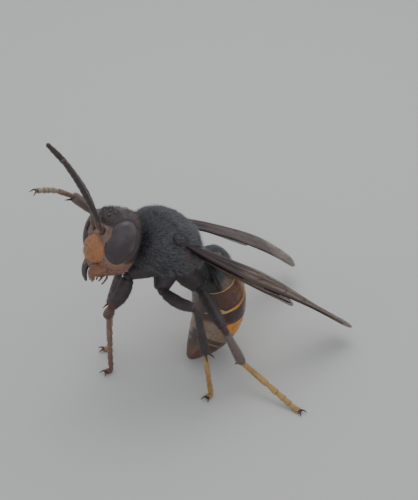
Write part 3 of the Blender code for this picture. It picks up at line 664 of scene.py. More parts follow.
def mask(tree, name):
    """A value of the mesh's points, 0 where the mesh has none of that name."""
    made = tree.nodes.new("ShaderNodeAttribute")
    made.attribute_name = name
    return made.outputs["Fac"]


def raised(tree, height, strength, distance, before=None):
    made = node(tree, "Bump", Height=height, Strength=strength, Distance=distance * MM)
    if before is not None:
        feed(tree, before, made.inputs["Normal"])
    return made.outputs["Normal"]


def surface(name, colour, roughness, specular=0.5, coat=0.0, sheen=0.0):
    """A new material, its tree and its shader, with the settings that are the same all over."""
    made = bpy.data.materials.new(name)
    made.use_nodes = True
    tree = made.node_tree
    shader = tree.nodes["Principled BSDF"]
    settings = {
        "Base Color": colour, "Roughness": roughness, "Specular IOR Level": specular,
        "Coat Weight": coat, "Coat Roughness": 0.25, "Sheen Weight": sheen, "Sheen Roughness": 0.4,
    }
    for label, value in settings.items():
        feed(tree, value, shader.inputs[label])
    return made, tree, shader


def cuticle(name, colour, deep, marks, roughness, pits=7.0, coat=0.1, sheen=0.0):
    """Insect shell: clouded colour, fine punctures, and markings read from the mesh's values."""
    made, tree, shader = surface(name, colour, roughness[0], coat=coat, sheen=sheen)
    cloud = fitted(tree, noise(tree, 1.1, 5.0), 0.35, 0.68)
    paint = blended(tree, cloud, deep, colour)
    ragged = fitted(tree, noise(tree, 3.2, 3.0), 0.2, 0.8, -0.16, 0.16)
    for label, mark in marks:
        share = maths(tree, "ADD", mask(tree, label), ragged)
        paint = blended(tree, fitted(tree, share, 0.18, 0.82), paint, mark)
    speck = fitted(tree, noise(tree, 9.0, 2.0), 0.42, 0.62)
    darker = blended(tree, speck, (0.72, 0.70, 0.68), (1.0, 1.0, 1.0))
    feed(tree, blended(tree, 0.7, paint, darker, "MULTIPLY"), shader.inputs["Base Color"])
    feed(tree, fitted(tree, noise(tree, 2.6, 4.0), 0.3, 0.7, *roughness), shader.inputs["Roughness"])
    dents = raised(tree, fitted(tree, cells(tree, pits), 0.05, 0.32), 0.35, 0.02)
    feed(tree, raised(tree, noise(tree, 22.0, 3.0), 0.25, 0.01, dents), shader.inputs["Normal"])
    return made


def compound_eye():
    """A dark glossy eye of fine facets, with a lighter brown bloom in patches."""
    made, tree, shader = surface("eye_facets", (0.05, 0.033, 0.038), 0.34, coat=0.15)
    bloom = fitted(tree, noise(tree, 0.55, 3.0), 0.38, 0.66)
    paint = blended(tree, bloom, (0.046, 0.031, 0.036), (0.094, 0.066, 0.071))
    feed(tree, paint, shader.inputs["Base Color"])
    facets = fitted(tree, cells(tree, 16.0), 0.0, 0.55, 1.0, 0.0)
    feed(tree, raised(tree, facets, 0.5, 0.016), shader.inputs["Normal"])
    return made


def hair_paint(name, root, tip):
    """Hair that lightens to its tip, each a little different. The dark hair's pale grey tips are partly
    painted sheen.
    """
    made, tree, shader = surface(name, root, 0.5, sheen=0.3)
    paint = blended(tree, mask(tree, "tip"), root, tip)
    shade = blended(tree, mask(tree, "shade"), (0.62, 0.60, 0.58), (1.0, 1.0, 1.0))
    feed(tree, blended(tree, 1.0, paint, shade, "MULTIPLY"), shader.inputs["Base Color"])
    return made


def wing_paint():
    """A smoky membrane with darker veins and a fine wrinkle along it."""
    made, tree, shader = surface("wing_membrane", (0.17, 0.10, 0.055), 0.42, specular=0.4)
    stain = fitted(tree, noise(tree, (1.2, 0.35, 0.35), 4.0), 0.35, 0.68)
    paint = blended(tree, stain, (0.138, 0.090, 0.072), (0.270, 0.194, 0.152))
    base = fitted(tree, mask(tree, "along"), 0.32, 0.52)
    paint = blended(tree, base, (0.031, 0.016, 0.019), paint)
    vein = fitted(tree, mask(tree, "vein"), 0.25, 0.75)
    feed(tree, blended(tree, vein, paint, (0.065, 0.034, 0.026)), shader.inputs["Base Color"])
    clear = fitted(tree, mask(tree, "along"), 0.34, 0.64, 0.93, 0.50)
    feed(tree, maths(tree, "MAXIMUM", clear, vein), shader.inputs["Alpha"])
    feed(tree, raised(tree, noise(tree, (7.0, 1.0, 1.0), 3.0), 0.3, 0.02), shader.inputs["Normal"])
    return made


def paint_set():
    return {
        "head": cuticle(
            "head_shell", (0.085, 0.040, 0.028), (0.055, 0.028, 0.022),
            (("face", (0.210, 0.124, 0.106)), ("cheek", (0.265, 0.137, 0.092)),
             ("clypeus", (0.42, 0.170, 0.070)), ("black", (0.052, 0.035, 0.041)),
             ("rim", (0.078, 0.034, 0.036))), (0.34, 0.52)),
        "ocellus": surface("ocellus", (0.035, 0.02, 0.016), 0.12, coat=0.6)[0],
        "eye": compound_eye(),
        # The jaw's dark mark is the black of its teeth and tips, and on the right jaw also painted
        # shade.
        "mandible": cuticle("jaw_shell", (0.22, 0.085, 0.035), (0.16, 0.06, 0.03),
                            (("dark", (0.044, 0.028, 0.025)),), (0.25, 0.4), 9.0, 0.3),
        "palp": cuticle("palp_shell", (0.20, 0.10, 0.055), (0.13, 0.065, 0.04), (), (0.4, 0.55)),
        "antenna": cuticle("antenna_shell", (0.060, 0.040, 0.034), (0.040, 0.028, 0.026),
                           (("under", (0.145, 0.076, 0.055)),), (0.45, 0.6), 14.0, 0.0, 0.4),
        "thorax": cuticle("thorax_shell", (0.034, 0.030, 0.034), (0.022, 0.020, 0.024),
                          (("rear", (0.120, 0.056, 0.050)),), (0.45, 0.65), 6.0, 0.0),
        "tegula": cuticle("tegula_shell", (0.036, 0.020, 0.019), (0.022, 0.015, 0.015), (), (0.45, 0.6)),
        "gaster": cuticle(
            "gaster_shell", (0.086, 0.051, 0.045), (0.064, 0.040, 0.036),
            (("rust", (0.150, 0.062, 0.040)), ("olive", (0.265, 0.178, 0.112)),
             ("amber", (0.300, 0.145, 0.064)), ("black", (0.022, 0.019, 0.022)),
             ("orange", (0.78, 0.300, 0.036)), ("line", (0.68, 0.43, 0.14))), (0.28, 0.44), 10.0, 0.25),
        "leg": cuticle("leg_shell", (0.056, 0.042, 0.044), (0.038, 0.030, 0.034),
                       (("dusty", (0.200, 0.150, 0.135)), ("knee", (0.115, 0.040, 0.034))),
                       (0.48, 0.62), 8.0, 0.0),
        "tarsus": cuticle("tarsus_shell", (0.50, 0.31, 0.10), (0.38, 0.21, 0.07),
                          (("pale", (0.35, 0.275, 0.20)), ("joint", (0.20, 0.100, 0.068))),
                          (0.42, 0.55), 12.0, 0.0, 0.2),
        "claw": cuticle("claw_shell", (0.09, 0.042, 0.028), (0.05, 0.028, 0.02), (), (0.25, 0.4)),
        "wing": wing_paint(),
        # The dark hair's pale blue-grey tips are partly painted sheen: they stand in for the grey gleam
        # where light catches the fur on the back.
        "dark_hair": hair_paint("hair_dark_painted_sheen_tips", (0.046, 0.045, 0.052), (0.330, 0.332, 0.362)),
        "brown_hair": hair_paint("hair_brown", (0.055, 0.036, 0.030), (0.19, 0.13, 0.10)),
    }


def clypeus_reach(way, height):
    """How far the clypeus reaches from the head's axis each way at each height, or 0."""
    _, cy, cz = CLYPEUS_CENTRE
    a, b, c = CLYPEUS_SIZES
    power = np.where(height < cz, *CLYPEUS_POWERS)[:, None]
    left = 1 - np.abs((height - cz) / c)[:, None] ** power
    qa = (way[..., 0] / a) ** 2 + (way[..., 1] / b) ** 2
    qb = -2 * way[..., 1] * cy / b**2
    qc = (cy / b) ** 2 - left
    inside = qb**2 - 4 * qa * qc
    return np.where(inside > 0, (-qb + np.sqrt(np.maximum(inside, 0))) / (2 * qa), 0.0)


def head_grid():
    """The head capsule in its own frame, and how far the clypeus stands out of it at each point."""
    rows, sides = HEAD_MESH
    share = eased(rows)
    width, front, back = profile_at(HEAD_PROFILE, share).T
    height = (share - 0.5) * HEAD_HEIGHT
    front_half = HEAD_DEPTH * FRONT_SHARE
    back_half = HEAD_DEPTH - front_half
    grid = rings(np.outer(height, (0, 0, 1)), (1, 0, 0), (0, -1, 0), width * HEAD_WIDTH / 2,
                 front * front_half, back * back_half, sides, HEAD_POWER)
    radius = np.linalg.norm(grid[..., :2], axis=-1)
    way = grid[..., :2] / radius[..., None]
    ahead = clypeus_reach(way, height) - radius
    soft = CLYPEUS_SOFTNESS
    grown = radius + 0.5 * (ahead + np.sqrt(ahead**2 + soft**2)) - soft / 2 * bump_at(ahead, 0, 0.5)
    grid[..., :2] = way * grown[..., None]
    return grid, ahead


def eye_turn(hand):
    lean, roll, swing = (math.radians(angle) for angle in EYE_TURN)
    return Euler((lean, roll * hand, swing * hand))


def eye_depth(points, hand):
    """Below 1 inside the eye, above 1 outside it."""
    local = (points - mirrored(EYE_CENTRE, hand)) @ np.array(eye_turn(hand).to_matrix())
    return np.linalg.norm(local / np.array(EYE_SIZES), axis=-1)


def from_notch(points, hand):
    """Distance from the middle of the notch in the eye's front edge."""
    return np.linalg.norm(points - mirrored(NOTCH_CENTRE, hand), axis=-1)


def head_relief(grid, ahead, facing):
    """How far each point of the head is raised, and how much of it is the shield of the face."""
    x, _, z = np.moveaxis(grid, -1, 0)
    middle = np.abs(x)
    # The seam round the clypeus, and the shield between the antennae.
    amount = -0.07 * bump_at(ahead, 0.01, 0.05) * facing
    shield_half = np.clip(0.42 - 0.30 * (z - 0.6), 0.08, 0.6)
    shield = smoothstep(0.12, -0.05, middle - shield_half) * bump_at(z, 0.72, 0.40) * facing
    amount += 0.07 * shield
    for _, hand in SIDES:
        # The rim and the pit of the antenna's socket, then the rim, the groove and the bed of the eye.
        ring = np.hypot(x - SOCKET[0] * hand, z - SOCKET[2])
        amount += facing * (0.09 * bump_at(ring, 0.34, 0.08) - 0.08 * smoothstep(0.30, 0.16, ring))
        depth = eye_depth(grid, hand)
        within = smoothstep(NOTCH_RADIUS, NOTCH_RADIUS + 0.15, from_notch(grid, hand))
        amount += 0.045 * bump_at(depth, 1.13, 0.05) * within
        amount -= 0.06 * bump_at(depth, 1.03, 0.03) * within
        amount -= 0.25 * smoothstep(0.98, 0.80, depth) * within
    # The line up the brow, the shallow dip beside each antenna, and the dent of the mouth's edge.
    amount -= 0.04 * bump_at(x, 0, 0.05) * smoothstep(1.1, 1.3, z) * smoothstep(1.8, 1.6, z) * facing
    amount -= 0.04 * bump_at(middle, 0.95, 0.2) * bump_at(z, 0.7, 0.4) * facing
    amount -= 0.05 * bump_at(z, -1.85, 0.06) * facing * bump_at(middle, 0.0, 0.7)
    return amount, shield


def head_marks(grid, ahead, facing, shield):
    """How much of each colour a place of the head has."""
    _, y, z = np.moveaxis(grid, -1, 0)
    clypeus = smoothstep(-0.02, 0.06, ahead) * facing
    cheek = smoothstep(-0.95, -1.40, z - 0.15 * smoothstep(-0.4, 1.0, y))
    black = np.clip(smoothstep(1.2, 1.8, z) + smoothstep(-0.2, 0.3, y), 0, 1) * (1 - cheek)
    black = black * (1 - 0.6 * bump_at(y, 1.5, 0.25) * smoothstep(1.2, 1.9, z))
    return {
        "clypeus": np.clip(clypeus + 0.45 * shield, 0, 1),
        "face": smoothstep(1.75, 1.15, z) * facing,
        "cheek": cheek,
        "black": black,
        "rim": smoothstep(1.2, 2.0, z) * smoothstep(0.2, 0.8, y),
    }


def make_head(paints, coat):
    grid, ahead = head_grid()
    z = grid[..., 2]
    facing = smoothstep(0.2, -0.6, grid[..., 1])
    relief, shield = head_relief(grid, ahead, facing)
    marks = head_marks(grid, ahead, facing, shield)
    grid = displace(grid, relief)
    placed = head_points(grid)
    Shape().tube(placed, **marks).make("head_capsule", paints["head"], "head_brown", ["head"])
    beads = Shape()
    for place in OCELLI:
        beads.tube(head_points(ellipsoid(place, OCELLUS_SIZES, 12, 20)))
    beads.make("ocelli", paints["ocellus"], "eye_dark")
    off_eyes = np.ones(z.shape)
    for _, hand in SIDES:
        off_eyes *= smoothstep(1.05, 1.2, eye_depth(grid, hand))
    coat.grow(placed, "crown", off_eyes * (0.25 + smoothstep(0.6, 1.8, z) * 1.3), (0.0, 0.5))
    coat.grow(placed, "face", off_eyes * smoothstep(0.8, 0.2, z), (0.5, 1.0))


def make_eyes(paints):
    for side, hand in SIDES:
        centre = mirrored(EYE_CENTRE, hand)
        ball = ellipsoid((0, 0, 0), (1, 1, 1), *EYE_MESH) * np.array(EYE_SIZES)
        grid = turned(ball, eye_turn(hand), centre)
        dip = smoothstep(NOTCH_RADIUS + 0.10, NOTCH_RADIUS - 0.12, from_notch(grid, hand))
        grid = grid + (centre - grid) * (0.30 * dip)[..., None]
        Shape().tube(head_points(grid)).make("compound_eye_" + side, paints["eye"], "eye_dark",
                                             ["eye_" + side])


def make_mandibles(paints):
    """Curved jaws with teeth on the inner edge, dark towards the tips. The right jaw is dark almost to
    its root: the dark beyond its teeth, inner edge and tip is painted shade.
    """
    sides = 28
    share = np.linspace(0, 1, 34)
    for side, hand in SIDES:
        breadth, dark_from = JAW_LOOKS[side]
        path = Path(MANDIBLES[side])
        wide, deep = (shaped(shape, share) * breadth for shape in (JAW_BREADTH, JAW_DEPTH))
        grid = tube(path, share, wide, deep, sides, across=(0, 1, 0), power=2.3)
        groove = 0.05 * bump_at(np.arange(sides) / sides, 0.25, 0.05)[None]
        grid = displace(grid, -groove * bump_at(share, 0.5, 0.3)[:, None])
        inner = smoothstep(-0.1, 0.5, -hand * normals_of(grid)[..., 0])
        inner = inner * smoothstep(0.1, 0.3, share)[:, None]
        # On the right jaw most of this dark is painted shade.
        dark = np.maximum(inner, smoothstep(dark_from, dark_from + 0.2, share)[:, None])
        shape = Shape().tube(head_points(grid), dark=dark)
        for place, size in TEETH:
            root = path.at(place)[0]
            tooth = Path((root, root + np.array((-0.5 * hand, -0.05, -0.12)) * size * 1.3,
                          root + np.array((-0.85 * hand, -0.08, -0.42)) * size * 1.6))
            along = np.linspace(0, 1, 8)
            thick = size * 0.55 * (1 - 0.85 * along**1.3)
            shape.tube(head_points(tube(tooth, along, thick, thick, 12)), dark=1.0)
        shape.make("jaw_" + side, paints["mandible"], "mandible_brown", ["mandible_" + side])


def make_mouth(paints):
    """The lower lip and four jointed feelers behind the jaws."""
    shape = Shape().tube(head_points(ellipsoid(LIP_CENTRE, LIP_SIZES, 18, 24)))
    share = np.linspace(0, 1, 40)
    knots = FEELER_RADIUS * (0.72 + 0.38 * np.abs(np.sin(share * math.pi * 4)) ** 0.6)
    size = knots * (1.1 - 0.5 * share**4)
    for _, hand in SIDES:
        for points in FEELERS:
            path = Path([mirrored(point, hand) for point in points])
            shape.tube(head_points(tube(path, share, size, size, 12)))
    shape.make("mouth_parts", paints["palp"], "mandible_brown")


def scape_grid(side, hand):
    """The first piece of an antenna, and how brown its front is."""
    socket = head_points(mirrored(SOCKET, hand))
    elbow = np.array(ANTENNAE[side][0])
    path = Path((socket, (socket + elbow) / 2 + np.array((0, -0.12, 0.05)), elbow))
    share = np.linspace(0, 1, 50)
    size = ANTENNA_RADIUS * shaped(SCAPE_SHAPE, share)
    grid = tube(path, share, size, size, 24)
    front = 0.45 + smoothstep(-0.2, 0.7, -normals_of(grid)[..., 1])
    return grid, front * smoothstep(0.02, 0.10, share)[:, None] * smoothstep(1.0, 0.8, share)[:, None]


def flagellum_grid(side):
    """The many-jointed end of an antenna."""
    along = np.linspace(0, 1, 12)
    places, sizes, start = [], [], 0.0
    for end in FLAGELLUM_ENDS:
        bulge = 0.88 + 0.15 * np.sin(np.clip(along, 0.02, 0.98) * math.pi) ** 0.5 + 0.03 * along
        taper = 1 - 0.28 * smoothstep(0.8, 1.0, start + (end - start) * along)
        if end == FLAGELLUM_ENDS[-1]:
            bulge = bulge * (1 - 0.8 * smoothstep(0.72, 1.0, along))
        places.append(start + (end - start) * along * 0.985)
        sizes.append(ANTENNA_RADIUS * bulge * taper)
        start = end
    sizes = np.concatenate(sizes)
    return tube(Path(ANTENNAE[side]), np.concatenate(places), sizes, sizes, 24)


def make_antennae(paints, coat):
    for side, hand in SIDES:
        scape, front = scape_grid(side, hand)
        flagellum = flagellum_grid(side)
        Shape().tube(scape, under=front).make(
            "antenna_scape_" + side, paints["antenna"], "antenna_brown", ["scape_" + side])
        Shape().tube(flagellum).make(
            "antenna_flagellum_" + side, paints["antenna"], "antenna_brown", ["flagellum_" + side])
        coat.grow(scape, "scape")
        coat.grow(flagellum, "flagellum")


def thorax_relief(x, z, s, across, upper):
    """How far each point of the thorax is raised; s is its share of the length."""
    collar = s - (0.15 + 0.30 * across**1.6)
    amount = -0.13 * bump_at(collar, 0, 0.012) * upper
    amount += 0.05 * bump_at(collar, -0.035, 0.02) * upper
    dome = smoothstep(0.0, 0.05, collar) * smoothstep(0.655, 0.62, s) * smoothstep(0.9, 0.6, across)
    amount += 0.10 * dome * upper
    # The back's middle line and its two short furrows.
    back = smoothstep(0.02, 0.08, collar) * smoothstep(0.64, 0.58, s) * upper
    amount -= 0.05 * bump_at(x, 0, 0.04) * back * smoothstep(0.50, 0.30, s)
    amount -= 0.05 * bump_at(np.abs(x), 1.05, 0.05) * back * smoothstep(0.38, 0.46, s)
    for seam, depth in THORAX_GROOVES:
        amount -= depth * bump_at(s - 0.02 * across, seam, 0.013) * upper
    for place, half_length, height, outer, inner in THORAX_PLATES:
        amount += height * bump_at(s, place, half_length) * smoothstep(outer, inner, across) * upper
    amount -= 0.14 * bump_at(x, 0, 0.22) * smoothstep(0.87, 0.94, s)
    # The sides: the hollow under the wing roots, the slanting seams and the bulge of the flank.
    amount -= 0.16 * bump_at(s, 0.60, 0.07) * bump_at(z, 0.75, 0.35) * smoothstep(0.7, 0.9, across)
    flank = smoothstep(0.5, 0.2, z) * smoothstep(-2.2, -1.8, z)
    for slant, place in FLANK_SEAMS:
        amount -= SEAM_DEPTH * bump_at(s + slant * z, place, 0.010) * flank
    return amount + 0.08 * bump_at(s, 0.48, 0.12) * bump_at(z, -0.7, 0.8)


def thorax_grid():
    """The thorax in its own frame, and how far along and out from the middle each point is."""
    rows, sides = THORAX_MESH
    share = eased(rows)
    width, above, below = profile_at(THORAX_PROFILE, share).T
    centres = np.outer((share - 0.5) * THORAX_LENGTH, (0, 1, 0))
    grid = rings(centres, (1, 0, 0), (0, 0, 1), width * THORAX_WIDTH / 2, above * THORAX_HEIGHT / 2,
                 below * THORAX_HEIGHT / 2, sides, THORAX_POWER)
    x, z = grid[..., 0], grid[..., 2]
    s = np.broadcast_to(share[:, None], x.shape)
    across = np.abs(x) / (THORAX_WIDTH / 2)
    relief = thorax_relief(x, z, s, across, smoothstep(0.1, 0.9, z))
    return displace(grid, relief - SKIN_UNDER_FUR), s, across


def make_thorax(paints, coat):
    grid, s, across = thorax_grid()
    z = grid[..., 2]
    under_wing = bump_at(s, 0.58, 0.13) * bump_at(z, 0.4, 0.7) * smoothstep(0.6, 0.8, across)
    rear = np.maximum(smoothstep(0.60, 0.80, s) * smoothstep(1.4, 0.2, z), under_wing)
    placed = thorax_points(grid)
    shape = Shape().tube(placed, rear=rear)
    neck = Path((head_points(NECK_FRONT), *thorax_points(NECK_BACK)))
    share = np.linspace(0, 1, 30)
    shape.tube(tube(neck, share, 0.85 + 0.2 * share, 0.8 + 0.2 * share, 32))
    shape.make("thorax_shell", paints["thorax"], "thorax_black",
               ["pronotum", "mesothorax", "propodeum"])
    # Dense on the back, thin at the collar, under the wings and at the rear.
    weight = 0.35 + 1.1 * smoothstep(-1.5, 1.0, z)
    weight *= 0.35 + 0.65 * smoothstep(0.02, 0.10, s)
    weight *= 1 - 0.75 * under_wing - 0.45 * smoothstep(0.8, 0.95, s)
    coat.grow(placed, "fur", weight, (0.0, 0.5))
    long_weight = smoothstep(0.0, 0.06, s) * smoothstep(0.42, 0.15, s) + 1.3 * bump_at(s, 0.72, 0.08)
    coat.grow(placed, "long fur", (long_weight + 0.15) * smoothstep(-0.6, 1.0, z), (0.5, 0.8))


def make_tegulae(paints, coat):
    """The caps over the wing roots, each with a rim and a groove inside it."""
    for side, hand in SIDES:
        grid = ellipsoid((0, 0, 0), TEGULA_SIZES, *TEGULA_MESH)
        ring = np.linalg.norm(grid[..., :2] / np.array(TEGULA_SIZES[:2]), axis=-1)
        rim = 0.05 * bump_at(ring, 0.93, 0.05) - 0.05 * bump_at(ring, 0.8, 0.06)
        grid[..., 2] += np.where(grid[..., 2] > 0, rim, 0)
        grid[..., 2] *= TEGULA_FLATNESS
        slope = Euler((0, math.radians(TEGULA_SLOPE * hand), 0))
        placed = thorax_points(turned(grid, slope, mirrored(TEGULA_CENTRE, hand)))
        Shape().tube(placed).make("wing_cap_" + side, paints["tegula"], "tegula_brown",
                                  ["tegula_" + side])
        coat.grow(placed, "wing cap")


GASTER_AXIS = Path(GASTER_PATH)
GASTER_LENGTH = GASTER_AXIS.length


def gaster_frame(share):
    ahead = GASTER_AXIS.ahead(share)
    side = unit(np.array((1.0, 0, 0)) - ahead * ahead[:, :1])
    return GASTER_AXIS.at(share), side, np.cross(side, ahead)


def gaster_ring_grid(number):
    """One ring of the gaster: it slides out from under the one before and ends in a thin rim.

    Gives its points, the distances from its own edge and from the edge before it, and the angle up
    from the flank, in millimetres and degrees."""
    rows, sides = GASTER_MESH
    c, s = (np.broadcast_to(part, (rows, sides)) for part in oval(sides))
    begin, begin_tilt = GASTER_EDGES[number - 1]
    end, end_tilt = GASTER_EDGES[number]
    begin = begin - begin_tilt * s
    end = end - end_tilt * s
    hidden = 0.0 if number == 1 else RING_OVERLAP
    along = np.linspace(0, 1, rows)[:, None] ** 0.9
    share = begin - hidden + (end - begin + hidden) * along
    from_end = (end - share) * GASTER_LENGTH
    from_begin = (share - begin) * GASTER_LENGTH
    rise = 0.045 * bump_at(from_end, 0.10, 0.10) - 0.10 * smoothstep(0.07, 0.0, from_end)
    scale = np.ones(share.shape)
    if number > 1:
        rise = rise - 0.02 - 0.16 * smoothstep(0.22, 0.0, from_begin + hidden * GASTER_LENGTH)
    if number == len(GASTER_EDGES) - 1:
        rise = rise * 0.0
        scale = np.sqrt(np.clip(1 - np.clip(1 - from_end / 0.25, 0, 1) ** 2, 0.01, 1))
    width, above, below = profile_at(GASTER_PROFILE, share.ravel()).T.reshape(3, rows, sides)
    centre, side, up = (part.reshape(rows, sides, 3) for part in gaster_frame(share.ravel()))
    reach = np.where(s > 0, above, below) * GASTER_HEIGHT / 2
    x = np.maximum(width * GASTER_WIDTH / 2 * scale + rise, 0.03) * c
    y = np.maximum(reach * scale + rise, 0.03) * s
    grid = centre + side * x[..., None] + up * y[..., None]
    # The back plate laps over the belly plate along each side.
    lap = -0.06 * bump_at(s, -0.55, 0.035) + 0.03 * bump_at(s, -0.47, 0.05)
    body = smoothstep(0.02, 0.10, share) * (1 - smoothstep(0.93, 1.0, along))
    flank = np.degrees(np.arcsin(np.clip(s, -1, 1)))
    return displace(grid, lap * body), from_end, from_begin, flank


def gaster_marks(number, from_end, from_begin, flank):
    """How much of each colour a place of a ring has."""
    def within(low, high, soft):
        return smoothstep(low - soft, low + soft, flank) * smoothstep(high + soft, high - soft, flank)

    none = np.zeros(flank.shape)
    wave = 0.03 * np.sin(flank / 7.0)
    marks = dict.fromkeys(("olive", "amber", "black", "rust", "orange", "line"), none)
    if number == 1:
        olive = smoothstep(1.25, 0.65, from_end + wave) * within(-30, 40, 14)
        marks["olive"] = 0.56 * olive
        marks["black"] = 1 - olive
        marks["line"] = smoothstep(0.19, 0.14, from_end) * within(-62, 100, 12)
    elif number == 2:
        marks["black"] = 0.5 * bump_at(flank, 90, 14) + 0.35 * within(-80, -35, 12)
        marks["amber"] = within(0, 100, 34) * smoothstep(0.1, 1.0, from_end) * 0.9
        marks["rust"] = within(-45, 0, 12) * smoothstep(0.2, 0.8, from_end) * 0.6
        broad = 0.24 + 0.45 * bump_at(flank, -38, 10) + 0.1 * bump_at(flank, -15, 8)
        marks["line"] = smoothstep(broad + 0.05, broad - 0.04, from_end + wave) * within(-75, -14, 8)
        marks["orange"] = smoothstep(0.42, 0.26, from_end + wave) * within(-20, 100, 8)
        marks["orange"] *= 0.85 - 0.28 * smoothstep(25, 75, flank)
    elif number == 3:
        marks["black"] = none + 0.12
        marks["rust"] = smoothstep(0.7, 0.3, from_end) * 0.6
        marks["olive"] = within(-80, -40, 10) * smoothstep(0.4, 0.1, from_end)
        marks["orange"] = smoothstep(0.14, 0.08, from_end) * smoothstep(-30, -15, flank)
    elif number == 4:
        marks["orange"] = smoothstep(-24, -12, flank + 60 * wave)
        marks["olive"] = smoothstep(-12, -24, flank + 60 * wave)
        marks["black"] = 0.9 * bump_at(flank, 90, 9) * smoothstep(0.75, 0.35, from_begin)
    elif number == 5:
        marks["olive"] = within(-70, 70, 15) * 0.9
        marks["rust"] = smoothstep(0.5, 0.2, from_end) * 0.6
        marks["black"] = bump_at(flank, 90, 25) * 0.7
    else:
        marks["rust"] = smoothstep(0.0, 0.6, from_begin)
    marks["line"] = marks["line"] * (0.72 + 0.28 * smoothstep(-60, -15, flank))
    return marks


def waist_grid():
    """The narrow stalk from the thorax to the first ring."""
    path = Path((*thorax_points(WAIST), GASTER_AXIS.at(0.05)[0]))
    share = np.linspace(0, 1, 24)
    size = WAIST_RADIUS + 0.06 * bump_at(share, 1, 0.3)
    return tube(path, share, size, size * 0.9, 36)


def make_gaster(paints, coat, dark_coat):
    ring_count = len(GASTER_EDGES) - 1
    for number in range(1, ring_count + 1):
        grid, from_end, from_begin, flank = gaster_ring_grid(number)
        shape = Shape().tube(grid, **gaster_marks(number, from_end, from_begin, flank))
        weight = smoothstep(0.0, 0.1, from_begin) + 0.001
        if number == 1:
            shape.tube(waist_grid(), black=1.0)
            weight = weight * (0.02 + smoothstep(48, 78, flank) + 0.2 * smoothstep(-50, -70, flank))
            dark_coat.grow(grid, "first ring", weight)
        else:
            coat.grow(grid, "gaster", weight, ((number - 1) / ring_count, number / ring_count))
        shape.make(
            f"gaster_ring_{number}", paints["gaster"],
            "gaster_orange" if number in ORANGE_RINGS else "gaster_brown", [f"gaster_{number}"])


def make_leg_base(name, hip, trochanter, thickness, paints, coat):
    rows, sides = LEG_MESH
    share = np.linspace(0, 1, rows)
    path = Path((hip + (hip - trochanter) * 0.9, hip, trochanter))
    size = thickness * shaped(COXA_SHAPE, share)
    grid = tube(path, share, size, size, sides)
    Shape().tube(grid).make("leg_base_" + name, paints["leg"], "leg_brown", ["coxa_" + name])
    coat.grow(grid, "leg base")


def make_thigh(name, trochanter, knee, thickness, paints, coat):
    rows, sides = LEG_MESH
    share = np.linspace(0, 1, rows)
    way = unit(knee - trochanter)
    middle = (trochanter + knee) / 2 + FEMUR_BOWS.get(name, np.zeros(3))
    path = Path((trochanter - way * 0.12, middle, knee - way * 0.02))
    size = shaped(FEMUR_SHAPE, share) * thickness / 2 * (1 - 0.30 * bump_at(share, 0.13, 0.035))
    grid = tube(path, share, size, size * 1.06, sides)
    red = smoothstep(0.84, 0.98, share) * (1.0 if RUSTY.get(name, 0.0) > 0.5 else 0.4)
    Shape().tube(grid, knee=red[:, None]).make(
        "thigh_" + name, paints["leg"], "leg_brown", ["femur_" + name])
    coat.grow(grid, "thigh")


def make_shin(name, knee, heel, toe, thickness, paints, coat):
    """The shin, and the spurs at its end: one on a foreleg, two on the others."""
    rows, sides = LEG_MESH
    share = np.linspace(0, 1, rows)
    way = unit(heel - knee)
    size = shaped(TIBIA_SHAPE, share) * thickness / 2
    grid = tube(Path((knee - way * 0.14, heel + way * 0.04)), share, size, size * 0.92, sides)
    red = RUSTY.get(name, 0.0) + 0.45 * smoothstep(0.14, 0.0, share) + 0.4 * smoothstep(0.85, 1.0, share)
    dusty = DUSTY.get(name, 0.0) * smoothstep(0.05, 0.25, share)
    shape = Shape().tube(grid, knee=np.clip(red, 0, 1)[:, None], dusty=dusty[:, None])
    out = unit(np.cross(way, unit(toe - heel)))
    inner = unit(np.cross(out, way)) * (1 if LEGS[name][-1] is None else -1)
    root = heel - way * 0.25
    along = np.linspace(0, 1, 14)
    thick = 0.11 * (1 - along) ** 0.7 + 0.01
    fore = name.startswith("fore")
    for spread in ((0.0,) if fore else (-0.5, 0.5)):
        aim = unit(way * 0.8 + inner * 0.75 + out * spread)
        spur = Path((root, root + aim * 0.5, root + aim * 0.95 + way * 0.08))
        shape.tube(tube(spur, along, thick, thick, 10), knee=0.4)
    shape.make("shin_" + name, paints["leg"], "leg_brown", ["tibia_" + name])
    coat.grow(grid, "fore shin" if fore else "shin")


def foot_path(heel, toe, heading):
    """The foot's path, and which way its claws point and hook."""
    if heading is None:
        stops = (heel, (heel + toe) / 2 + np.array((0, 0, 0.25)), toe)
        return Path(stops), unit(toe - heel), np.array((0, -0.35, -1.0))
    angle = math.radians(heading)
    forward = np.array((math.cos(angle), math.sin(angle), 0.0))
    ball = toe - forward * BALL
    instep = ball + unit(heel - ball) * INSTEP
    return Path((heel, heel + (instep - heel) * 0.6, instep, ball, toe)), forward, np.zeros(3)


def make_foot(name, path, thickness, paints, coat):
    """The five joints of a foot."""
    shape = Shape()
    along = np.linspace(0, 1, 16)
    start = 0.0
    for number, end in enumerate(TARSOMERE_ENDS):
        first = number == 0
        share = start + (end - start) * along * 0.995 - (0 if first else 0.012) * (1 - along)
        size = shaped(FIRST_TARSOMERE_SHAPE if first else TARSOMERE_SHAPE, along)
        size = size * thickness / 2 * (1.0 if number in (0, 4) else 1.04)
        grid = on_floor(tube(path, np.clip(share, 0, 1), size, size * 0.85, 20))
        brown, pale = FOOT_TONES.get(name, YELLOW_FOOT)[number]
        ring = JOINT_RINGS.get(name, JOINT_RING) * bump_at(along, 0.0, 0.14)
        brown = brown + ring * (not first) + 0.2 * (number > 1)
        shape.tube(grid, joint=np.clip(brown, 0, 1)[:, None], pale=pale)
        coat.grow(grid, "first tarsomere" if first else "tarsomere")
        start = end
    shape.make("foot_" + name, paints["tarsus"], "tarsus_yellow", ["tarsus_" + name])


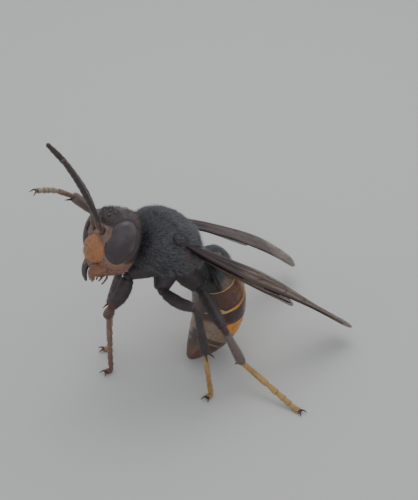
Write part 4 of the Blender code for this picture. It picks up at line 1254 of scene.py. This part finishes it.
def make_claws(name, toe, forward, down, paints):
    """Two claws and the pad between them."""
    across = unit(np.cross(forward, (0, 0, 1.0)))
    tip_drop = np.array((0, 0, 0.0 if down.any() else 0.10))
    along = np.linspace(0, 1, 16)
    thick = 0.085 * (1 - along) ** 0.65 + 0.006
    claws = Shape()
    for hand in (1, -1):
        root = toe - forward * 0.08 + across * hand * 0.07
        aim = unit(forward + across * hand * 0.5 + down * 0.3)
        claw = Path((root, root + aim * 0.30 + np.array((0, 0, 0.06)),
                     root + aim * 0.62 + down * 0.18 - tip_drop))
        claws.tube(on_floor(tube(claw, along, thick, thick, 10), 0.004))
    claws.tube(on_floor(ellipsoid(toe + forward * 0.10, (0.12, 0.12, 0.07), 12, 16), 0.002))
    claws.make("claws_" + name, paints["claw"], "leg_brown")


def make_leg(name, paints, coat):
    *points, heading = LEGS[name]
    hip, trochanter, knee, heel, toe = np.array(points, float)
    coxa, femur, tibia, tarsus = LEG_THICKNESS[name.split("_")[0]]
    path, forward, down = foot_path(heel, toe, heading)
    make_leg_base(name, hip, trochanter, coxa, paints, coat)
    make_thigh(name, trochanter, knee, femur, paints, coat)
    make_shin(name, knee, heel, toe, tibia, paints, coat)
    make_foot(name, path, tarsus, paints, coat)
    make_claws(name, toe, forward, down, paints)


def vein_mask(veins, along, across, length, width):
    """How near each place of the blade is to a vein, from 0 to 1."""
    found = np.zeros(along.shape)
    x, y = along * length, across * width
    for line, half in veins:
        points = np.array(line) * (length, width)
        for a, b in zip(points, points[1:]):
            step = b - a
            t = np.clip(((x - a[0]) * step[0] + (y - a[1]) * step[1]) / (step @ step), 0, 1)
            distance = np.hypot(x - a[0] - t * step[0], y - a[1] - t * step[1])
            found = np.maximum(found, smoothstep(half * 1.5, half * 0.5, distance))
    return found


def blade_axes(ahead, tilt, hand):
    """Which way is across a wing and which is up, at each place along it."""
    outward = np.stack((hand * np.cos(tilt), np.zeros(len(tilt)), -np.sin(tilt)), axis=1)
    across = unit(outward - ahead * (ahead * outward).sum(axis=1, keepdims=True))
    up = np.cross(across, ahead)
    return across, up * np.sign(up[:, 2:3])


def there_and_back(values):
    """The values of a sheet's upper face, and again in reverse for its lower face."""
    return np.concatenate((values, values[:, ::-1]), axis=1)


def make_wing(name, paints):
    """A long folded blade with raised veins; a forewing has a second layer under the first."""
    axis, width, tilt_root, tilt_tip = WINGS[name]
    fore = name.startswith("fore")
    path = Path(axis)
    rows, columns = WING_MESHES["fore" if fore else "hind"]
    share = np.linspace(0, 1, rows)
    span = width * profile_at(WING_OUTLINE, share)[:, 0]
    tilt = np.radians(tilt_root + (tilt_tip - tilt_root) * smoothstep(0.4, 0.85, share))
    across, up = blade_axes(path.ahead(share), tilt, 1 if name.endswith("left") else -1)
    a, b = np.meshgrid(share, np.linspace(0, 1, columns), indexing="ij")
    veins = vein_mask(FORE_VEINS if fore else HIND_VEINS, a, b, path.length, width)
    if fore:
        stigma = bump_at(a, 0.60, 0.035) * bump_at(b, 0.94, 0.06)
        veins = np.maximum(veins, smoothstep(0.3, 0.6, stigma))
    camber = 0.10 * (1 - (2 * b - 1) ** 2) + 0.05 * np.sin(b * math.pi * 5) * (1 - 0.5 * a)
    camber = (camber - 0.05 * smoothstep(0.7, 1.0, b)) * (span[:, None] / width)
    # A forewing's apex lies towards its outer edge.
    apex = 0.32 * (span.max() - span) * smoothstep(0.84, 0.94, share) * fore

    def sheet(rise, vein_height, shrink):
        offset = (b - 0.5) * span[:, None] * shrink + apex[:, None]
        height = camber + rise + vein_height * veins
        return (path.at(share)[:, None] + across[:, None] * offset[..., None]
                + up[:, None] * height[..., None])

    shape = Shape()
    tone = there_and_back(np.interp(a, *WING_TONES[name]))
    for rise, vein_height, shrink in WING_LAYERS[:2 if fore else 1]:
        top = sheet(rise, vein_height, shrink)
        bottom = sheet(rise - MEMBRANE * 0.6, -vein_height * 0.6, shrink)
        loop = np.concatenate((top, bottom[:, ::-1]), axis=1)
        shape.tube(loop, vein=there_and_back(veins), along=tone)
    shape.make("wing_" + name, paints["wing"], "wing_smoky", [name])


def make_camera():
    azimuth, elevation = math.radians(CAMERA_AZIMUTH), math.radians(CAMERA_ELEVATION)
    back = Vector((math.sin(azimuth) * math.cos(elevation), -math.cos(azimuth) * math.cos(elevation),
                   math.sin(elevation)))
    right = Vector((math.cos(azimuth), math.sin(azimuth), 0))
    up = back.cross(right)
    across = (TARGET_PIXEL[0] - FRAME_PIXELS[0] / 2) / PIXELS_PER_MM
    rise = (FRAME_PIXELS[1] / 2 - TARGET_PIXEL[1]) / PIXELS_PER_MM
    place = Vector(TARGET) - Vector(ORIGIN) + back * CAMERA_DISTANCE - right * across - up * rise
    camera = bpy.data.objects.new("camera", bpy.data.cameras.new("camera"))
    bpy.context.scene.collection.objects.link(camera)
    camera.data.sensor_width = SENSOR
    camera.data.lens = PIXELS_PER_MM * CAMERA_DISTANCE / FRAME_PIXELS[1] * SENSOR
    camera.data.clip_start = 0.001
    matrix = Matrix((right, up, back)).transposed().to_4x4()
    matrix.translation = place * MM
    camera.matrix_world = matrix
    bpy.context.scene.camera = camera


def area_light(name, place, size, power, colour):
    lamp = bpy.data.objects.new(name, bpy.data.lights.new(name, "AREA"))
    bpy.context.scene.collection.objects.link(lamp)
    lamp.data.shape = "DISK"
    lamp.data.size = size * MM
    lamp.data.energy = power
    lamp.data.color = colour
    lamp.location = Vector(place) * MM
    lamp.rotation_euler = (Vector(place) - LIGHTS_AIM).to_track_quat("Z", "Y").to_euler()


def make_stage():
    mesh = bpy.data.meshes.new("floor")
    corners = [(x * FLOOR_REACH, y * FLOOR_REACH, 0) for x, y in ((-1, -1), (1, -1), (1, 1), (-1, 1))]
    mesh.from_pydata(corners, [], [(0, 1, 2, 3)])
    mesh.materials.append(surface("floor_pale", (0.575, 0.565, 0.545), 0.85, specular=0.2)[0])
    floor = bpy.data.objects.new("floor", mesh)
    bpy.context.scene.collection.objects.link(floor)
    world = bpy.data.worlds.new("studio")
    world.use_nodes = True
    sky = world.node_tree.nodes["Background"]
    sky.inputs["Color"].default_value = SKY
    sky.inputs["Strength"].default_value = SKY_STRENGTH
    bpy.context.scene.world = world
    area_light("key", *KEY_LIGHT)
    area_light("fill", *FILL_LIGHT)


def main():
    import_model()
    make_camera()
    make_stage()
    paints = paint_set()
    head_coat, body_coat, gaster_coat, leg_coat, waist_coat = (Coat(SEED + k) for k in range(5))
    make_head(paints, head_coat)
    make_eyes(paints)
    make_mandibles(paints)
    make_mouth(paints)
    make_antennae(paints, head_coat)
    make_thorax(paints, body_coat)
    make_tegulae(paints, body_coat)
    make_gaster(paints, gaster_coat, waist_coat)
    for name in LEGS:
        make_leg(name, paints, leg_coat)
    for name in WINGS:
        make_wing(name, paints)
    head_coat.make("head_hair", paints["brown_hair"], "head_brown")
    body_coat.make("thorax_fur", paints["dark_hair"], "thorax_black")
    gaster_coat.make("gaster_hair", paints["brown_hair"], "gaster_brown")
    waist_coat.make("waist_hair", paints["dark_hair"], "gaster_brown")
    leg_coat.make("leg_hair", paints["brown_hair"], "leg_brown")


main()
